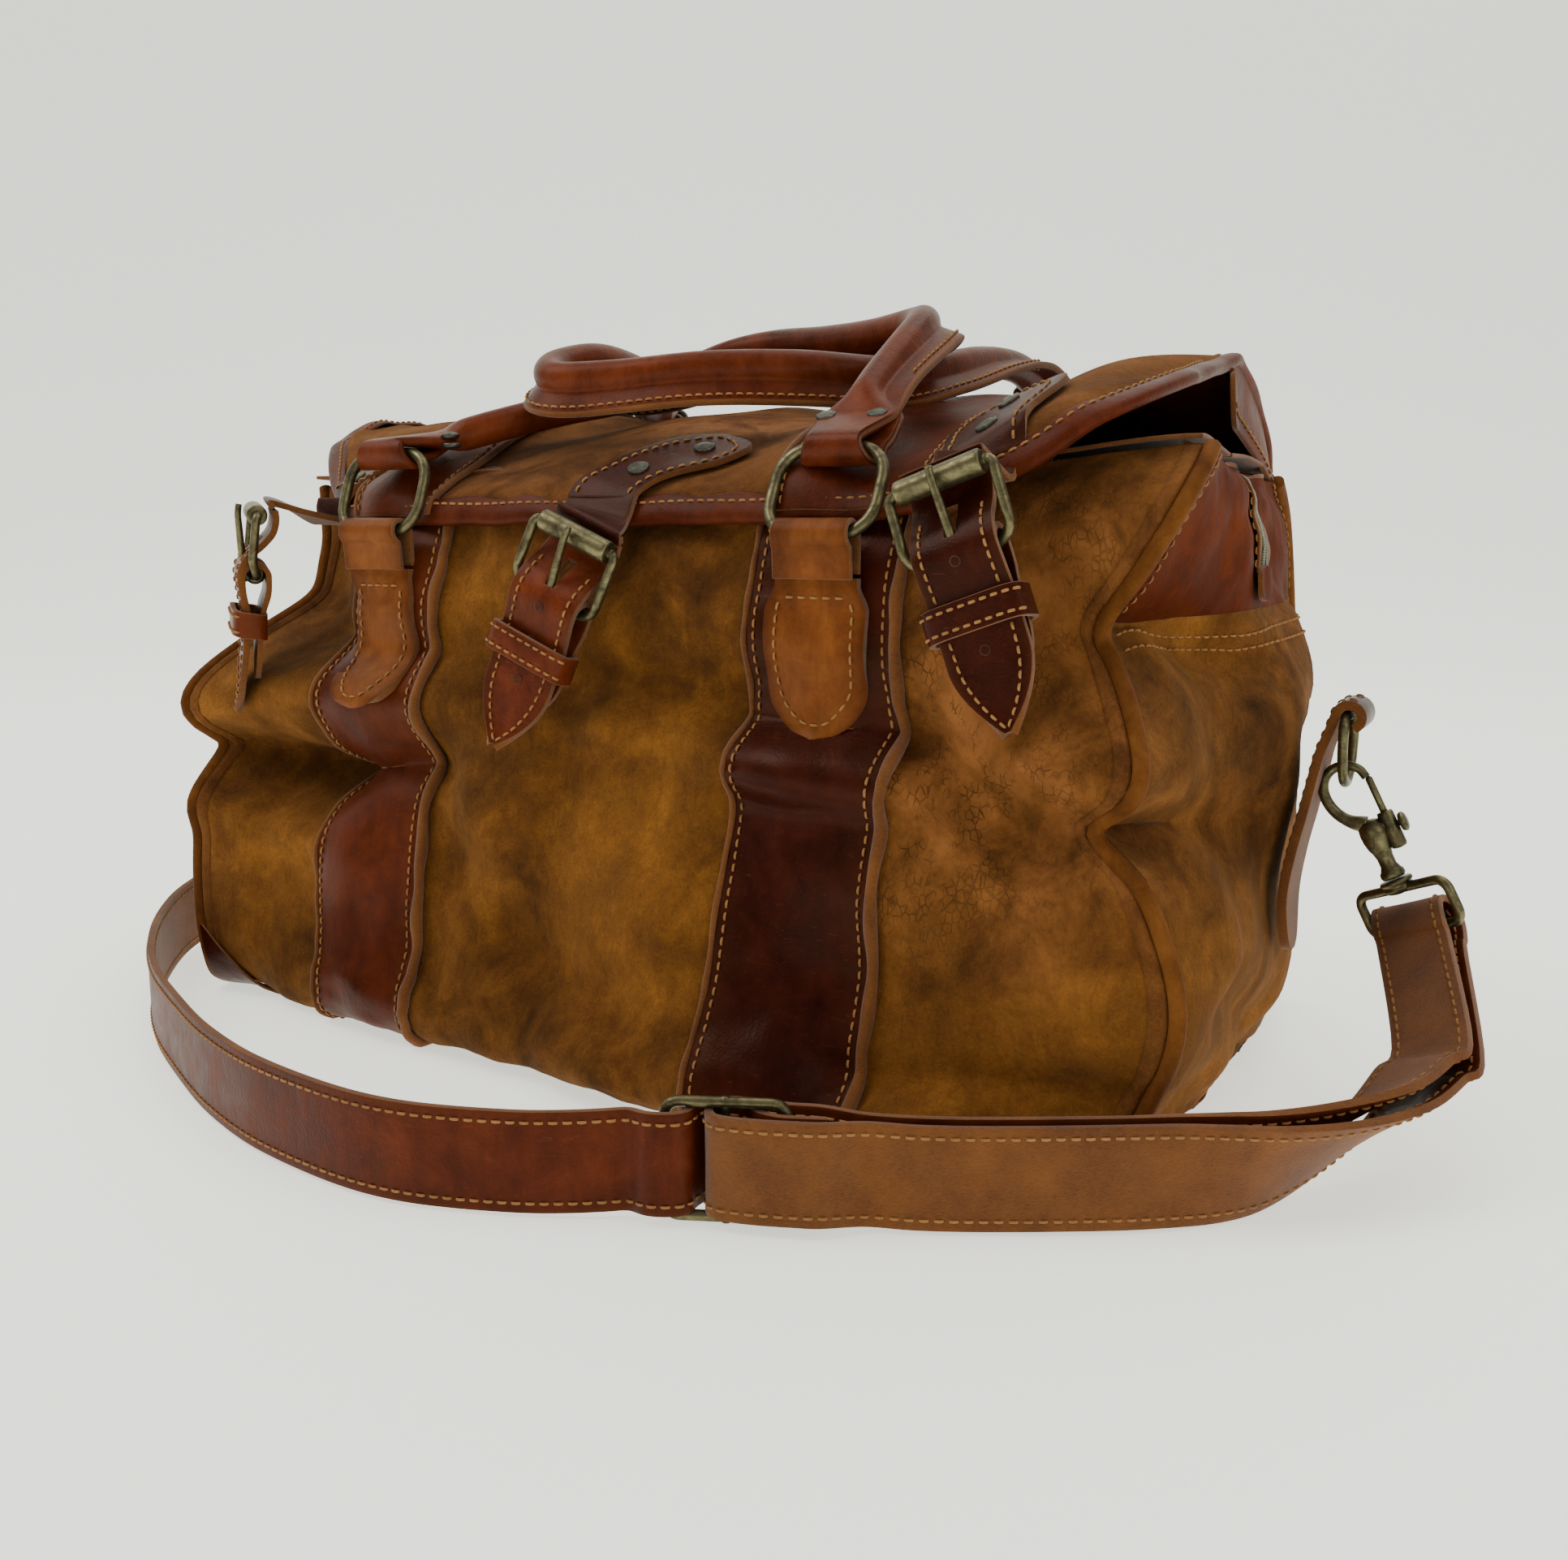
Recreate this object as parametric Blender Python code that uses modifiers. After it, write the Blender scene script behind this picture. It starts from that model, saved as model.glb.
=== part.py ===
"""A soft suede and leather weekender bag: flap, handles, closures, zip and shoulder strap.

Metres. +X runs along the bag to its right end, -Y is the front, +Z is up. The origin is on the
underside of the base, under the middle of the bag.
"""
import math

import bmesh
import bpy
from mathutils import Matrix, Vector

NAME = "weekender_bag"

# driving dimensions
HALF_LENGTH = 0.249
SUEDE = 0.0025
LEATHER = 0.0022
LAYER_GAP = 0.0012
BAND_X = 0.119
BAND_WIDTH = 0.068
RING_TAB_WIDTH = 0.046
RING_LOOP_WIDTH = 0.030
RING_HALF_WIDTH = 0.024
RING_HALF_HEIGHT = 0.0195
RING_CORNER = 0.014
RING_WIRE = 0.0025
STRAP_WIDTH = 0.034
SHOULDER_WIDTH = 0.038
SHOULDER_THICK = 0.003
HANDLE_RADIUS = 0.0065
PIPING_RADIUS = 0.0030
BASE_THICK = 0.003
BASE_HALF_DEPTH = 0.108

# half of the cross-section: distance from the middle plane and height, from the base to the mouth
SECTION = [(0.112, 0.004), (0.129, 0.013), (0.135, 0.040), (0.135, 0.100), (0.130, 0.165),
           (0.123, 0.213), (0.108, 0.246), (0.086, 0.264)]

# where the soft shell has sunk or swelled: centre, reach along each axis, and push
SLUMP = [
    ((-0.245, -0.10, 0.225), (0.085, 0.10, 0.062), (0.030, 0.070, 0.000)),
    ((-0.230, -0.12, 0.160), (0.050, 0.08, 0.026), (-0.008, -0.014, 0.000)),
    ((-0.185, -0.12, 0.120), (0.060, 0.06, 0.024), (0.000, 0.028, 0.000)),
    ((0.080, -0.13, 0.045), (0.150, 0.08, 0.070), (0.000, -0.015, 0.000)),
    ((0.015, -0.12, 0.162), (0.100, 0.06, 0.014), (0.000, 0.010, 0.000)),
    ((0.245, -0.12, 0.205), (0.060, 0.09, 0.030), (-0.016, 0.012, 0.000)),
    ((0.245, -0.11, 0.262), (0.050, 0.07, 0.030), (0.012, 0.000, 0.010)),
    ((0.245, -0.12, 0.070), (0.050, 0.07, 0.040), (0.018, 0.000, 0.000)),
    ((0.250, 0.02, 0.150), (0.040, 0.08, 0.050), (0.022, 0.000, 0.000)),
    ((0.250, 0.00, 0.055), (0.040, 0.12, 0.045), (0.014, 0.000, 0.000)),
    ((-0.250, -0.02, 0.150), (0.040, 0.08, 0.050), (-0.022, 0.000, 0.000)),
    ((-0.250, 0.00, 0.055), (0.040, 0.12, 0.045), (-0.014, 0.000, 0.000)),
]

# the flap's own section, back edge to front edge: depth and height
FLAP_SECTION = [(0.108, 0.266), (0.086, 0.287), (0.042, 0.298), (0.000, 0.295),
                (-0.050, 0.284), (-0.086, 0.272), (-0.110, 0.259), (-0.119, 0.245)]
FLAP_HALF = 0.245
FLAP_CORNER = 0.185
FLAP_HINGE = (0.0, 0.108, 0.266)

RING_PIVOT_Z = 0.241
RING_PIVOT_OUT = 0.0134
RING_LEAN = {("front", "left"): math.radians(20), ("front", "right"): math.radians(28),
             ("back", "left"): math.radians(-6), ("back", "right"): math.radians(-6)}

# each closure: roller centre, its turn about Z, its sideways tilt, the lean of its hanging end, and
# where it starts on the flap
CLOSURES = {
    "left": ((-0.1930, -0.128, 0.250), math.radians(-40), math.radians(-4), math.radians(3), -0.140),
    "middle": ((0.0130, -0.1460, 0.240), 0.0, math.radians(-23), math.radians(2), 0.040),
    "right": ((0.1760, -0.1440, 0.262), 0.0, math.radians(20), math.radians(1), 0.181),
}
BAR_DROP = 0.030
TAB_DROP = 0.080
TIP_DROP = 0.097

HANG_X, HANG_Z = 0.3035, 0.166
HOOK_TILT = math.radians(27)

BROWN = (0.30, 0.11, 0.04)
OCHRE = (0.36, 0.17, 0.04)
DARK = (0.12, 0.03, 0.02)
BRASS = (0.16, 0.14, 0.08)


def material(name, colour, roughness, metallic=0.0):
    made = bpy.data.materials.get(name)
    if made is None:
        made = bpy.data.materials.new(name)
        made.use_nodes = True
        shader = made.node_tree.nodes["Principled BSDF"]
        shader.inputs["Base Color"].default_value = (*colour, 1.0)
        shader.inputs["Roughness"].default_value = roughness
        shader.inputs["Metallic"].default_value = metallic
    return made


def suede():
    return material("suede", OCHRE, 0.95)


def leather():
    return material("leather", BROWN, 0.45)


def dark_leather():
    return material("dark_leather", DARK, 0.30)


def brass():
    return material("aged_brass", BRASS, 0.40, 1.0)


def through(points, share):
    """A point on a smooth curve through the given points, with share running from 0 to 1."""
    last = len(points) - 1
    place = min(max(share, 0.0), 1.0) * last
    step = min(int(place), last - 1)
    f = place - step
    near = [points[max(step - 1, 0)], points[step], points[step + 1], points[min(step + 2, last)]]
    out = []
    for a, b, c, d in zip(*near):
        out.append(0.5 * (2 * b + (c - a) * f + (2 * a - 5 * b + 4 * c - d) * f ** 2
                          + (3 * b - a - 3 * c + d) * f ** 3))
    return out


def through_line(points, share):
    """As through, but carried on straight past both ends."""
    inside = min(max(share, 0.0), 1.0)
    here = through(points, inside)
    if inside == share:
        return here
    step = 0.01 if share < 0 else -0.01
    near = through(points, inside + step)
    return [a + (b - a) / step * (share - inside) for a, b in zip(here, near)]


def ease(value):
    value = min(max(value, 0.0), 1.0)
    return value * value * (3 - 2 * value)


def slump(point):
    """The shell's own sag, as one smooth map that all its layers share."""
    moved = Vector(point)
    for centre, reach, push in SLUMP:
        far = sum(((p - c) / r) ** 2 for p, c, r in zip(point, centre, reach))
        moved += Vector(push) * math.exp(-far)
    return moved


def share_at(height):
    """Where on the half section a height lies, from 0 at the base to 1 at the mouth."""
    low, high = 0.0, 1.0
    for _ in range(30):
        middle = (low + high) / 2
        if through(SECTION, middle)[1] < height:
            low = middle
        else:
            high = middle
    return low


def lifted(surface, u, v, out):
    """A point of surface(u, v), moved off it by out along its own normal."""
    step = 0.004
    along = surface(u + step, v) - surface(u - step, v)
    up = surface(u, v + step) - surface(u, v - step)
    return surface(u, v) + along.cross(up).normalized() * out


def wall(side, x, share, out=0.0):
    """A point on the front (side -1) or the back (side 1) of the shell."""

    def surface(u, v):
        y, z = through_line(SECTION, v)
        return slump((-side * u, side * y, z))

    return lifted(surface, -side * x, share, out)


def end_wall(side, across, share, out=0.0):
    """A point on an end of the shell, with across from -1 at the front to 1 at the back."""

    def surface(u, v):
        y, z = through_line(SECTION, v)
        crown = 0.012 * (1 - u ** 2) * math.sin(math.pi * min(max(v, 0.0), 1.0))
        return slump((side * (HALF_LENGTH + crown), side * y * u, z))

    return lifted(surface, side * across, share, out)


def standing(side, x, out, height):
    """A point beside the upright part of the front or the back, and straight up above it."""
    y = through(SECTION, share_at(min(height, 0.222)))[0]
    return slump((x, side * (y + out), height))


def flap_reach(x):
    """How far towards the front the flap goes at x: its two front corners are cut back."""
    beyond = max(abs(x) - FLAP_CORNER, 0.0) / (FLAP_HALF - FLAP_CORNER)
    return 1.0 - 0.42 * beyond ** 2


def flap_point(x, share, out=0.0):
    """A point on the flap, with share from 0 at the back edge to 1 at the front edge."""

    def surface(u, v):
        y, z = through_line(FLAP_SECTION, -v * flap_reach(u))
        lift = 0.016 * ease((u - 0.12) / 0.10) * ease((-v - 0.1) / 0.5)
        return slump((u, y, z + lift))

    return lifted(surface, x, -share, out)


def sheet(name, point, across, along, thick, skin, gaps=(), outward=1.0):
    """A grid laid on point(u, v) and thickened: outward 1 puts it all outside, 0 half each way."""
    mesh = bpy.data.meshes.new(name)
    form = bmesh.new()
    bmesh.ops.create_grid(form, x_segments=across, y_segments=along, size=0.5)
    cut = []
    for face in form.faces:
        middle = face.calc_center_median()
        for low, high, start, stop in gaps:
            if low < middle.x + 0.5 < high and start < middle.y + 0.5 < stop:
                cut.append(face)
    bmesh.ops.delete(form, geom=cut, context="FACES")
    for corner in form.verts:
        corner.co = point(corner.co.x + 0.5, corner.co.y + 0.5)
    form.to_mesh(mesh)
    form.free()
    thing = bpy.data.objects.new(name, mesh)
    solid = thing.modifiers.new("thickness", "SOLIDIFY")
    solid.thickness = thick
    solid.offset = outward
    return finish(thing, skin)


def finish(thing, skin, smooth=True):
    thing.data.materials.append(skin)
    parts.objects.link(thing)
    if smooth and thing.type == "MESH":
        thing.data.shade_smooth()
    return thing


def hung_at(thing, place):
    """Put a moving piece's origin on the axis that it turns about."""
    thing.data.transform(Matrix.Translation(-Vector(place)))
    thing.location = place


def tube(name, points, radius, skin, sides=2, closed=False, swell=None):
    """A round bar along a list of points; swell scales its radius point by point."""
    line = bpy.data.curves.new(name, "CURVE")
    line.dimensions = "3D"
    line.bevel_depth = radius
    line.bevel_resolution = sides
    line.use_fill_caps = not closed
    run = line.splines.new("POLY")
    run.points.add(len(points) - 1)
    for place, (knot, where) in enumerate(zip(run.points, points)):
        knot.co = (*where, 1.0)
        if swell:
            knot.radius = swell[place]
    run.use_cyclic_u = closed
    thing = bpy.data.objects.new(name, line)
    return finish(thing, skin)


def frame_plate(name, outline, holes, thick, skin):
    """A flat outline with holes, standing in its own XY plane."""
    line = bpy.data.curves.new(name, "CURVE")
    line.dimensions = "2D"
    line.fill_mode = "BOTH"
    line.extrude = thick / 2
    for loop in [outline, *holes]:
        run = line.splines.new("POLY")
        run.points.add(len(loop) - 1)
        for knot, where in zip(run.points, loop):
            knot.co = (where[0], where[1], 0.0, 1.0)
        run.use_cyclic_u = True
    thing = bpy.data.objects.new(name, line)
    return finish(thing, skin)


def cut_corners(left, right, low, high, chamfer):
    """A rectangle with its corners cut, counter-clockwise."""
    return [(left + chamfer, low), (right - chamfer, low), (right, low + chamfer),
            (right, high - chamfer), (right - chamfer, high), (left + chamfer, high),
            (left, high - chamfer), (left, low + chamfer)]


def turned(name, profile, steps, skin):
    """A closed profile of (radius, height) pairs turned round its own Z axis."""
    mesh = bpy.data.meshes.new(name)
    corners = [(r, 0.0, h) for r, h in profile]
    count = len(corners)
    mesh.from_pydata(corners, [(n, (n + 1) % count) for n in range(count)], [])
    thing = bpy.data.objects.new(name, mesh)
    spin = thing.modifiers.new("turn", "SCREW")
    spin.steps = spin.render_steps = steps
    spin.use_merge_vertices = True
    spin.merge_threshold = 0.00005
    return finish(thing, skin)


def block(name, size, place, skin):
    mesh = bpy.data.meshes.new(name)
    form = bmesh.new()
    bmesh.ops.create_cube(form, size=1.0, matrix=Matrix.Diagonal((*size, 1.0)))
    form.to_mesh(mesh)
    form.free()
    thing = bpy.data.objects.new(name, mesh)
    thing.location = place
    return finish(thing, skin, smooth=False)


# the shell

def columns():
    """Lines across the front and back that fall on the edges of the bands."""
    inner, outer = BAND_X - BAND_WIDTH / 2, BAND_X + BAND_WIDTH / 2
    edge = HALF_LENGTH - 0.004
    right = [inner * n / 4 for n in range(5)]
    right += [inner + BAND_WIDTH * n / 3 for n in range(1, 4)]
    right += [outer + (edge - outer) * n / 4 for n in range(1, 5)]
    return [-x for x in reversed(right[1:])] + right


ROWS = 12
COLUMNS = columns()


def build_shell():
    last = len(COLUMNS) - 1
    edge = COLUMNS[-1]
    for word, side in (("front", -1), ("back", 1)):

        def panel(u, v, side=side):
            return wall(side, -side * COLUMNS[round(u * last)], v)

        sheet(f"{word}_panel", panel, last, ROWS, SUEDE, suede())

        def mouth(u, v, side=side):
            x = -side * (2 * u - 1) * edge
            opened = ease((x + 0.222) / 0.05) * ease((0.222 - x) / 0.05)
            lip = 0.002 + 0.028 * opened
            start = 0.0835
            depth = start + (lip - start) * v
            return slump((x, side * depth, 0.2680 + 0.004 * v))

        sheet(f"zip_panel_{word}", mouth, 18, 2, LEATHER, leather())
    seam = 0.70
    for word, side in (("left", -1), ("right", 1)):

        def gusset(u, v, side=side):
            return end_wall(side, side * (2 * u - 1) * 0.938, (seam - 0.015) * v)

        sheet(f"gusset_{word}", gusset, 10, 10, SUEDE, suede())

        def top(u, v, side=side):
            return end_wall(side, side * (2 * u - 1) * 0.938, seam + (0.995 - seam) * v)

        sheet(f"gusset_top_{word}", top, 10, 5, LEATHER, leather())

        path = []
        for step in range(27):
            share = 0.03 + 0.96 * step / 26
            y, z = through(SECTION, share)
            path.append(slump((side * (HALF_LENGTH + 0.0015), -(y + 0.001), z)))
        tube(f"piping_front_{word}", path, PIPING_RADIUS, leather(), sides=1)
    build_base()


def build_base():
    def floor(u, v):
        x = (2 * u - 1) * (HALF_LENGTH - 0.004)
        y = (2 * v - 1) * BASE_HALF_DEPTH
        return Vector((x, y, 0.0))

    sheet("base_panel", floor, 7, 5, BASE_THICK, suede())


def build_bands():
    for word, side in (("front", -1), ("back", 1)):
        for hand, middle in (("left", -BAND_X), ("right", BAND_X)):

            def band(u, v, side=side, middle=middle):
                x = middle - side * (2 * u - 1) * BAND_WIDTH / 2
                return wall(side, x, (1 + (ROWS - 3) * v) / ROWS, SUEDE + LAYER_GAP)

            skin = dark_leather() if (word, hand) == ("front", "right") else leather()
            sheet(f"band_{word}_{hand}", band, 3, ROWS - 3, LEATHER, skin)

            ring_tab(f"ring_tab_{word}_{hand}", side, middle)


def ring_tab(name, side, middle):
    """A strip folded over at its top, with the ring's wire in the fold.

    The fold lies along the line through both of the handle's rings; the strip below it lies on
    the wall.
    """
    line = Matrix.Rotation(ring_yaw("front" if side < 0 else "back"), 3, "Z") @ Vector((1, 0, 0))
    out = SUEDE + LEATHER + 2 * LAYER_GAP + LEATHER / 2 + 0.0006
    radius = 0.0056
    centre = RING_PIVOT_OUT
    run = [(out, RING_PIVOT_Z - 0.034), (out, RING_PIVOT_Z - 0.018)]
    for step in range(9):
        turn = math.pi * (1.0 - step / 8)
        run.append((centre + radius * math.cos(turn), RING_PIVOT_Z + radius * math.sin(turn)))
    run += [(centre + 0.0030, RING_PIVOT_Z - 0.014), (out + 0.0036, RING_PIVOT_Z - 0.028),
            (out + 0.0034, 0.200), (out + 0.0034, 0.186), (out + 0.0034, 0.174), (out + 0.0034, 0.166)]

    def strip(u, v):
        place = v * (len(run) - 1)
        step = min(int(place + 1e-6), len(run) - 1)
        away, height = run[step]
        rounding = max(0.0, (0.190 - height) / 0.026) if step > 10 else 0.0
        half = RING_TAB_WIDTH / 2 * math.sqrt(max(1 - rounding ** 2 * 0.9, 0.05))
        narrow = ease((height - RING_PIVOT_Z + 0.028) / 0.016)
        half += (RING_LOOP_WIDTH / 2 - half) * narrow
        across = -side * (2 * u - 1) * half
        laid = standing(side, middle + across, away, height)
        return laid.lerp(standing(side, middle, away, height) + line * across, narrow)

    sheet(name, strip, 2, len(run) - 1, LEATHER, leather(), outward=0.0)


def ring_pivot(word, hand):
    side = -1 if word == "front" else 1
    x = BAND_X if hand == "right" else -BAND_X
    return standing(side, x, RING_PIVOT_OUT, RING_PIVOT_Z)


def ring_yaw(word):
    """How far the line through a handle's two rings is turned about Z."""
    left, right = ring_pivot(word, "left"), ring_pivot(word, "right")
    return math.atan2(right.y - left.y, right.x - left.x)


def ring_up(word, hand):
    """From a ring's lower wire, in its tab, to its upper wire, in the handle."""
    lean = RING_LEAN[word, hand]
    up = Vector((0.0, math.sin(lean), math.cos(lean)))
    return Matrix.Rotation(ring_yaw(word), 3, "Z") @ up


def ring_top(word, hand):
    """The middle of the wire at the far side of a ring, where a handle holds it."""
    return ring_pivot(word, hand) + ring_up(word, hand) * 2 * RING_HALF_HEIGHT


def build_rings():
    flat_x, flat_y = RING_HALF_WIDTH - RING_CORNER, RING_HALF_HEIGHT - RING_CORNER
    outline = []
    for quarter, (across, up) in enumerate(((1, 1), (-1, 1), (-1, -1), (1, -1))):
        for step in range(5):
            turn = math.pi / 2 * (quarter + step / 4)
            outline.append((across * flat_x + RING_CORNER * math.cos(turn),
                            up * flat_y + RING_CORNER * math.sin(turn), 0.0))
    for word in ("front", "back"):
        for hand in ("left", "right"):
            ring = tube(f"ring_{word}_{hand}", outline, RING_WIRE, brass(), closed=True, sides=1)
            hung_at(ring, (0.0, -RING_HALF_HEIGHT, 0.0))
            ring.location = ring_pivot(word, hand)
            ring.rotation_euler = (math.pi / 2 - RING_LEAN[word, hand], 0.0, ring_yaw(word))


# the handles: a rolled leather cord from ring to ring

FRONT_HANDLE = [(0.119, -0.100, 0.287), (0.119, -0.078, 0.303), (0.120, -0.050, 0.321),
                (0.118, -0.028, 0.332), (0.106, -0.008, 0.335), (0.078, 0.006, 0.333),
                (0.044, 0.020, 0.333), (0.012, 0.030, 0.334), (-0.014, 0.028, 0.330),
                (-0.034, 0.008, 0.318), (-0.048, -0.020, 0.307), (-0.062, -0.050, 0.300),
                (-0.080, -0.076, 0.292), (-0.100, -0.094, 0.284)]
BACK_HANDLE = [(0.124, 0.118, 0.312), (0.122, 0.085, 0.322), (0.118, 0.045, 0.322),
               (0.112, 0.005, 0.316), (0.098, -0.028, 0.312), (0.068, -0.052, 0.314),
               (0.030, -0.068, 0.314), (-0.010, -0.080, 0.311), (-0.040, -0.086, 0.311),
               (-0.052, -0.070, 0.318), (-0.050, -0.040, 0.324), (-0.052, -0.005, 0.322),
               (-0.062, 0.040, 0.316), (-0.088, 0.085, 0.316), (-0.114, 0.118, 0.308)]


def handle_path(word, middle):
    """From behind one ring, round its wire, along the grip and round the other ring's wire."""
    right, left = ring_top(word, "right"), ring_top(word, "left")
    path = []
    for ring, after in ((right, middle[0]), (left, middle[-1])):
        run = (Vector(after) - ring)
        run.x = 0.0
        run.normalize()
        over = Vector((0.0, -run.z, run.y))
        hook = []
        for step in range(9):
            turn = math.radians(-150 + 240 * step / 8)
            hook.append(ring - run * 0.0052 * math.cos(turn) + over * 0.0052 * math.sin(turn))
        hook.append(ring + run * 0.011 + over * 0.0040)
        if ring is left:
            hook.reverse()
        path.append(hook)
    spread = [Vector(through(middle, n / 26)) for n in range(27)]
    points = path[0] + spread + path[1]
    thin = 0.28
    swell = [thin] * 10 + [0.75] + [1.0] * 25 + [0.75] + [thin] * 10
    return points, swell


def build_handles():
    for word, middle in (("front", FRONT_HANDLE), ("back", BACK_HANDLE)):
        points, swell = handle_path(word, middle)
        grip = tube(f"handle_{word}", points, HANDLE_RADIUS, leather(), sides=2, swell=swell)
        hung_at(grip, (ring_top(word, "left") + ring_top(word, "right")) / 2)


# the flap and its closures

def build_flap():
    def cover(u, v):
        return flap_point((2 * u - 1) * FLAP_HALF, 1 - v)

    hung_at(sheet("flap", cover, 26, 12, SUEDE, suede()), FLAP_HINGE)

    def binding(u, v):
        x = (2 * u - 1) * (FLAP_HALF - 0.004)
        return flap_point(x, 0.985 - 0.05 * v, SUEDE + 1.4 * LAYER_GAP)

    sheet("flap_binding", binding, 26, 1, LEATHER, leather())
    for word, (roller, _, tilt, _, start) in CLOSURES.items():
        end = roller[0] + 0.012 * math.sin(tilt)

        def tab(u, v, start=start, end=end):
            back_off = ease(v / 0.92)
            x = end + (start - end) * back_off
            half = STRAP_WIDTH / 2 * math.sqrt(max(1 - max(v - 0.78, 0) ** 2 / 0.0605, 0.06))
            return flap_point(x + (2 * u - 1) * half, 0.905 - 0.235 * v,
                              SUEDE + 2 * LAYER_GAP + 0.0004)

        sheet(f"flap_tab_{word}", tab, 2, 10, LEATHER, leather())


def closure_matrix(word):
    """From a closure's own axes (X across, -Y out, -Z down) to the bag's."""
    roller, yaw, tilt, lean, _ = CLOSURES[word]
    return (Matrix.Translation(roller) @ Matrix.Rotation(yaw, 4, "Z")
            @ Matrix.Rotation(-tilt, 4, "Y") @ Matrix.Rotation(-lean, 4, "X"))


def build_closure(word):
    placed = closure_matrix(word)

    def strap(u, v):
        run = [(-0.0030, -0.0095), (-0.0062, -0.0040), (-0.0072, 0.0020), (-0.0060, 0.0080),
               (-0.0010, 0.0140), (0.0050, 0.0195), (0.0084, 0.0255), (0.0090, 0.0310),
               (0.0072, 0.0390), (0.0056, 0.0480), (0.0052, 0.0600), (0.0050, 0.0750),
               (0.0048, 0.0880), (0.0046, TIP_DROP)]
        out, drop = through(run, v)
        point = max(0.0, (drop - 0.070) / (TIP_DROP - 0.070))
        half = STRAP_WIDTH / 2 * (1 - 0.82 * point ** 1.6)
        return placed @ Vector(((2 * u - 1) * half, -out, -drop))

    hung = sheet(f"closure_strap_{word}", strap, 5, 26, LEATHER, leather(),
                 gaps=[(0.35, 0.65, 0.24, 0.52)], outward=0.0)
    hung_at(hung, placed.translation)

    def tab(u, v):
        run = [(0.0010, TAB_DROP), (0.0008, 0.070), (0.0004, 0.058), (-0.0016, 0.046),
               (-0.0040, 0.038)]
        for step in range(7):
            turn = math.pi * (1.0 - step / 6)
            run.append((0.0046 * math.cos(turn), BAR_DROP - 0.0046 * math.sin(turn)))
        run += [(0.0042, 0.036), (0.0034, 0.042)]
        step = min(int(v * (len(run) - 1) + 1e-6), len(run) - 1)
        out, drop = run[step]
        rounding = max(0.0, (drop - 0.062) / (TAB_DROP - 0.061))
        half = (STRAP_WIDTH / 2 - 0.001) * math.sqrt(max(1 - rounding ** 2 * 0.85, 0.05))
        return placed @ Vector((-(2 * u - 1) * half, -out, -drop))

    sheet(f"buckle_tab_{word}", tab, 5, 13, 0.0018, leather(),
          gaps=[(0.35, 0.65, 0.33, 0.99)], outward=0.0)

    outline = cut_corners(-0.0235, 0.0235, -BAR_DROP - 0.0017, 0.0015, 0.005)
    inner = cut_corners(-0.0200, 0.0200, -BAR_DROP + 0.0017, -0.0015, 0.003)
    frame = frame_plate(f"buckle_frame_{word}", outline, [inner], 0.0030, brass())
    frame.matrix_world = placed @ Matrix.Rotation(math.radians(90), 4, "X")

    roller = turned(f"buckle_roller_{word}",
                    [(0.0045, 0.0175), (0.0045, -0.0175), (0.0027, -0.0175), (0.0027, 0.0175)],
                    14, brass())
    roller.matrix_world = placed @ Matrix.Rotation(math.radians(90), 4, "Y")

    hinge = placed @ Matrix.Translation((0.0, 0.0, -BAR_DROP))
    bend = [(0.0047, 0.0002), (0.0050, 0.0060), (0.0056, 0.0120), (0.0066, 0.0200),
            (0.0070, 0.0270), (0.0068, 0.0330)]
    prong = tube(f"buckle_prong_{word}", [(0.0, -out, rise) for out, rise in bend], 0.0015,
                 brass(), sides=1)
    prong.matrix_world = hinge


# the zip's slider and pull

def build_zip():
    block("zip_slider", (0.012, 0.009, 0.0045), (-0.2050, 0.0, 0.2785), brass())
    pull = block("zip_pull", (0.030, 0.008, 0.0018), (-0.1794, 0.0, 0.2788), leather())
    hung_at(pull, (-0.0196, 0.0, 0.0))
    pull.location = (-0.1990, 0.0, 0.2788)


# the D-rings, the snap hooks and the shoulder strap

def end_matrix(side):
    """The strap's hardware at one end; the left end's is the right end's turned half round."""
    return Matrix.Rotation(0.0 if side > 0 else math.pi, 4, "Z")


def build_hangers():
    for word, side in (("left", -1), ("right", 1)):
        turned_end = end_matrix(side)

        def strip(u, v, turned_end=turned_end, side=side):
            run = [(0.2795, 0.100), (0.2835, 0.116), (0.2870, 0.132), (0.2890, 0.148),
                   (0.2935, 0.158)]
            for step in range(8):
                turn = math.pi * (1.0 - step / 7 * 1.25)
                run.append((HANG_X + 0.0062 * math.cos(turn), HANG_Z + 0.0062 * math.sin(turn)))
            step = min(int(v * (len(run) - 1) + 1e-6), len(run) - 1)
            x, z = run[step]
            return turned_end @ Vector((x, (2 * u - 1) * 0.011, z))

        sheet(f"dring_tab_{word}", strip, 1, 12, LEATHER, leather(), outward=0.0)

        hung = turned_end @ Matrix.Translation((HANG_X, 0.0, HANG_Z))
        loop = [(0.0, -0.0130, 0.0), (0.0, 0.0130, 0.0), (0.0, 0.0145, -0.006),
                (0.0, 0.0140, -0.014), (0.0, 0.0110, -0.022), (0.0, 0.0060, -0.027),
                (0.0, 0.0, -0.029), (0.0, -0.0060, -0.027), (0.0, -0.0110, -0.022),
                (0.0, -0.0140, -0.014), (0.0, -0.0145, -0.006)]
        ring = tube(f"dring_{word}", loop, 0.0020, brass(), closed=True, sides=1)
        ring.matrix_world = hung
        build_hook(word, turned_end)


def hook_matrix(turned_end):
    """A hook's own axes: its origin is where its bow holds the D-ring, and -Z runs down it."""
    return (turned_end @ Matrix.Translation((HANG_X, 0.0, HANG_Z - 0.029))
            @ Matrix.Rotation(-HOOK_TILT, 4, "Y"))


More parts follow.
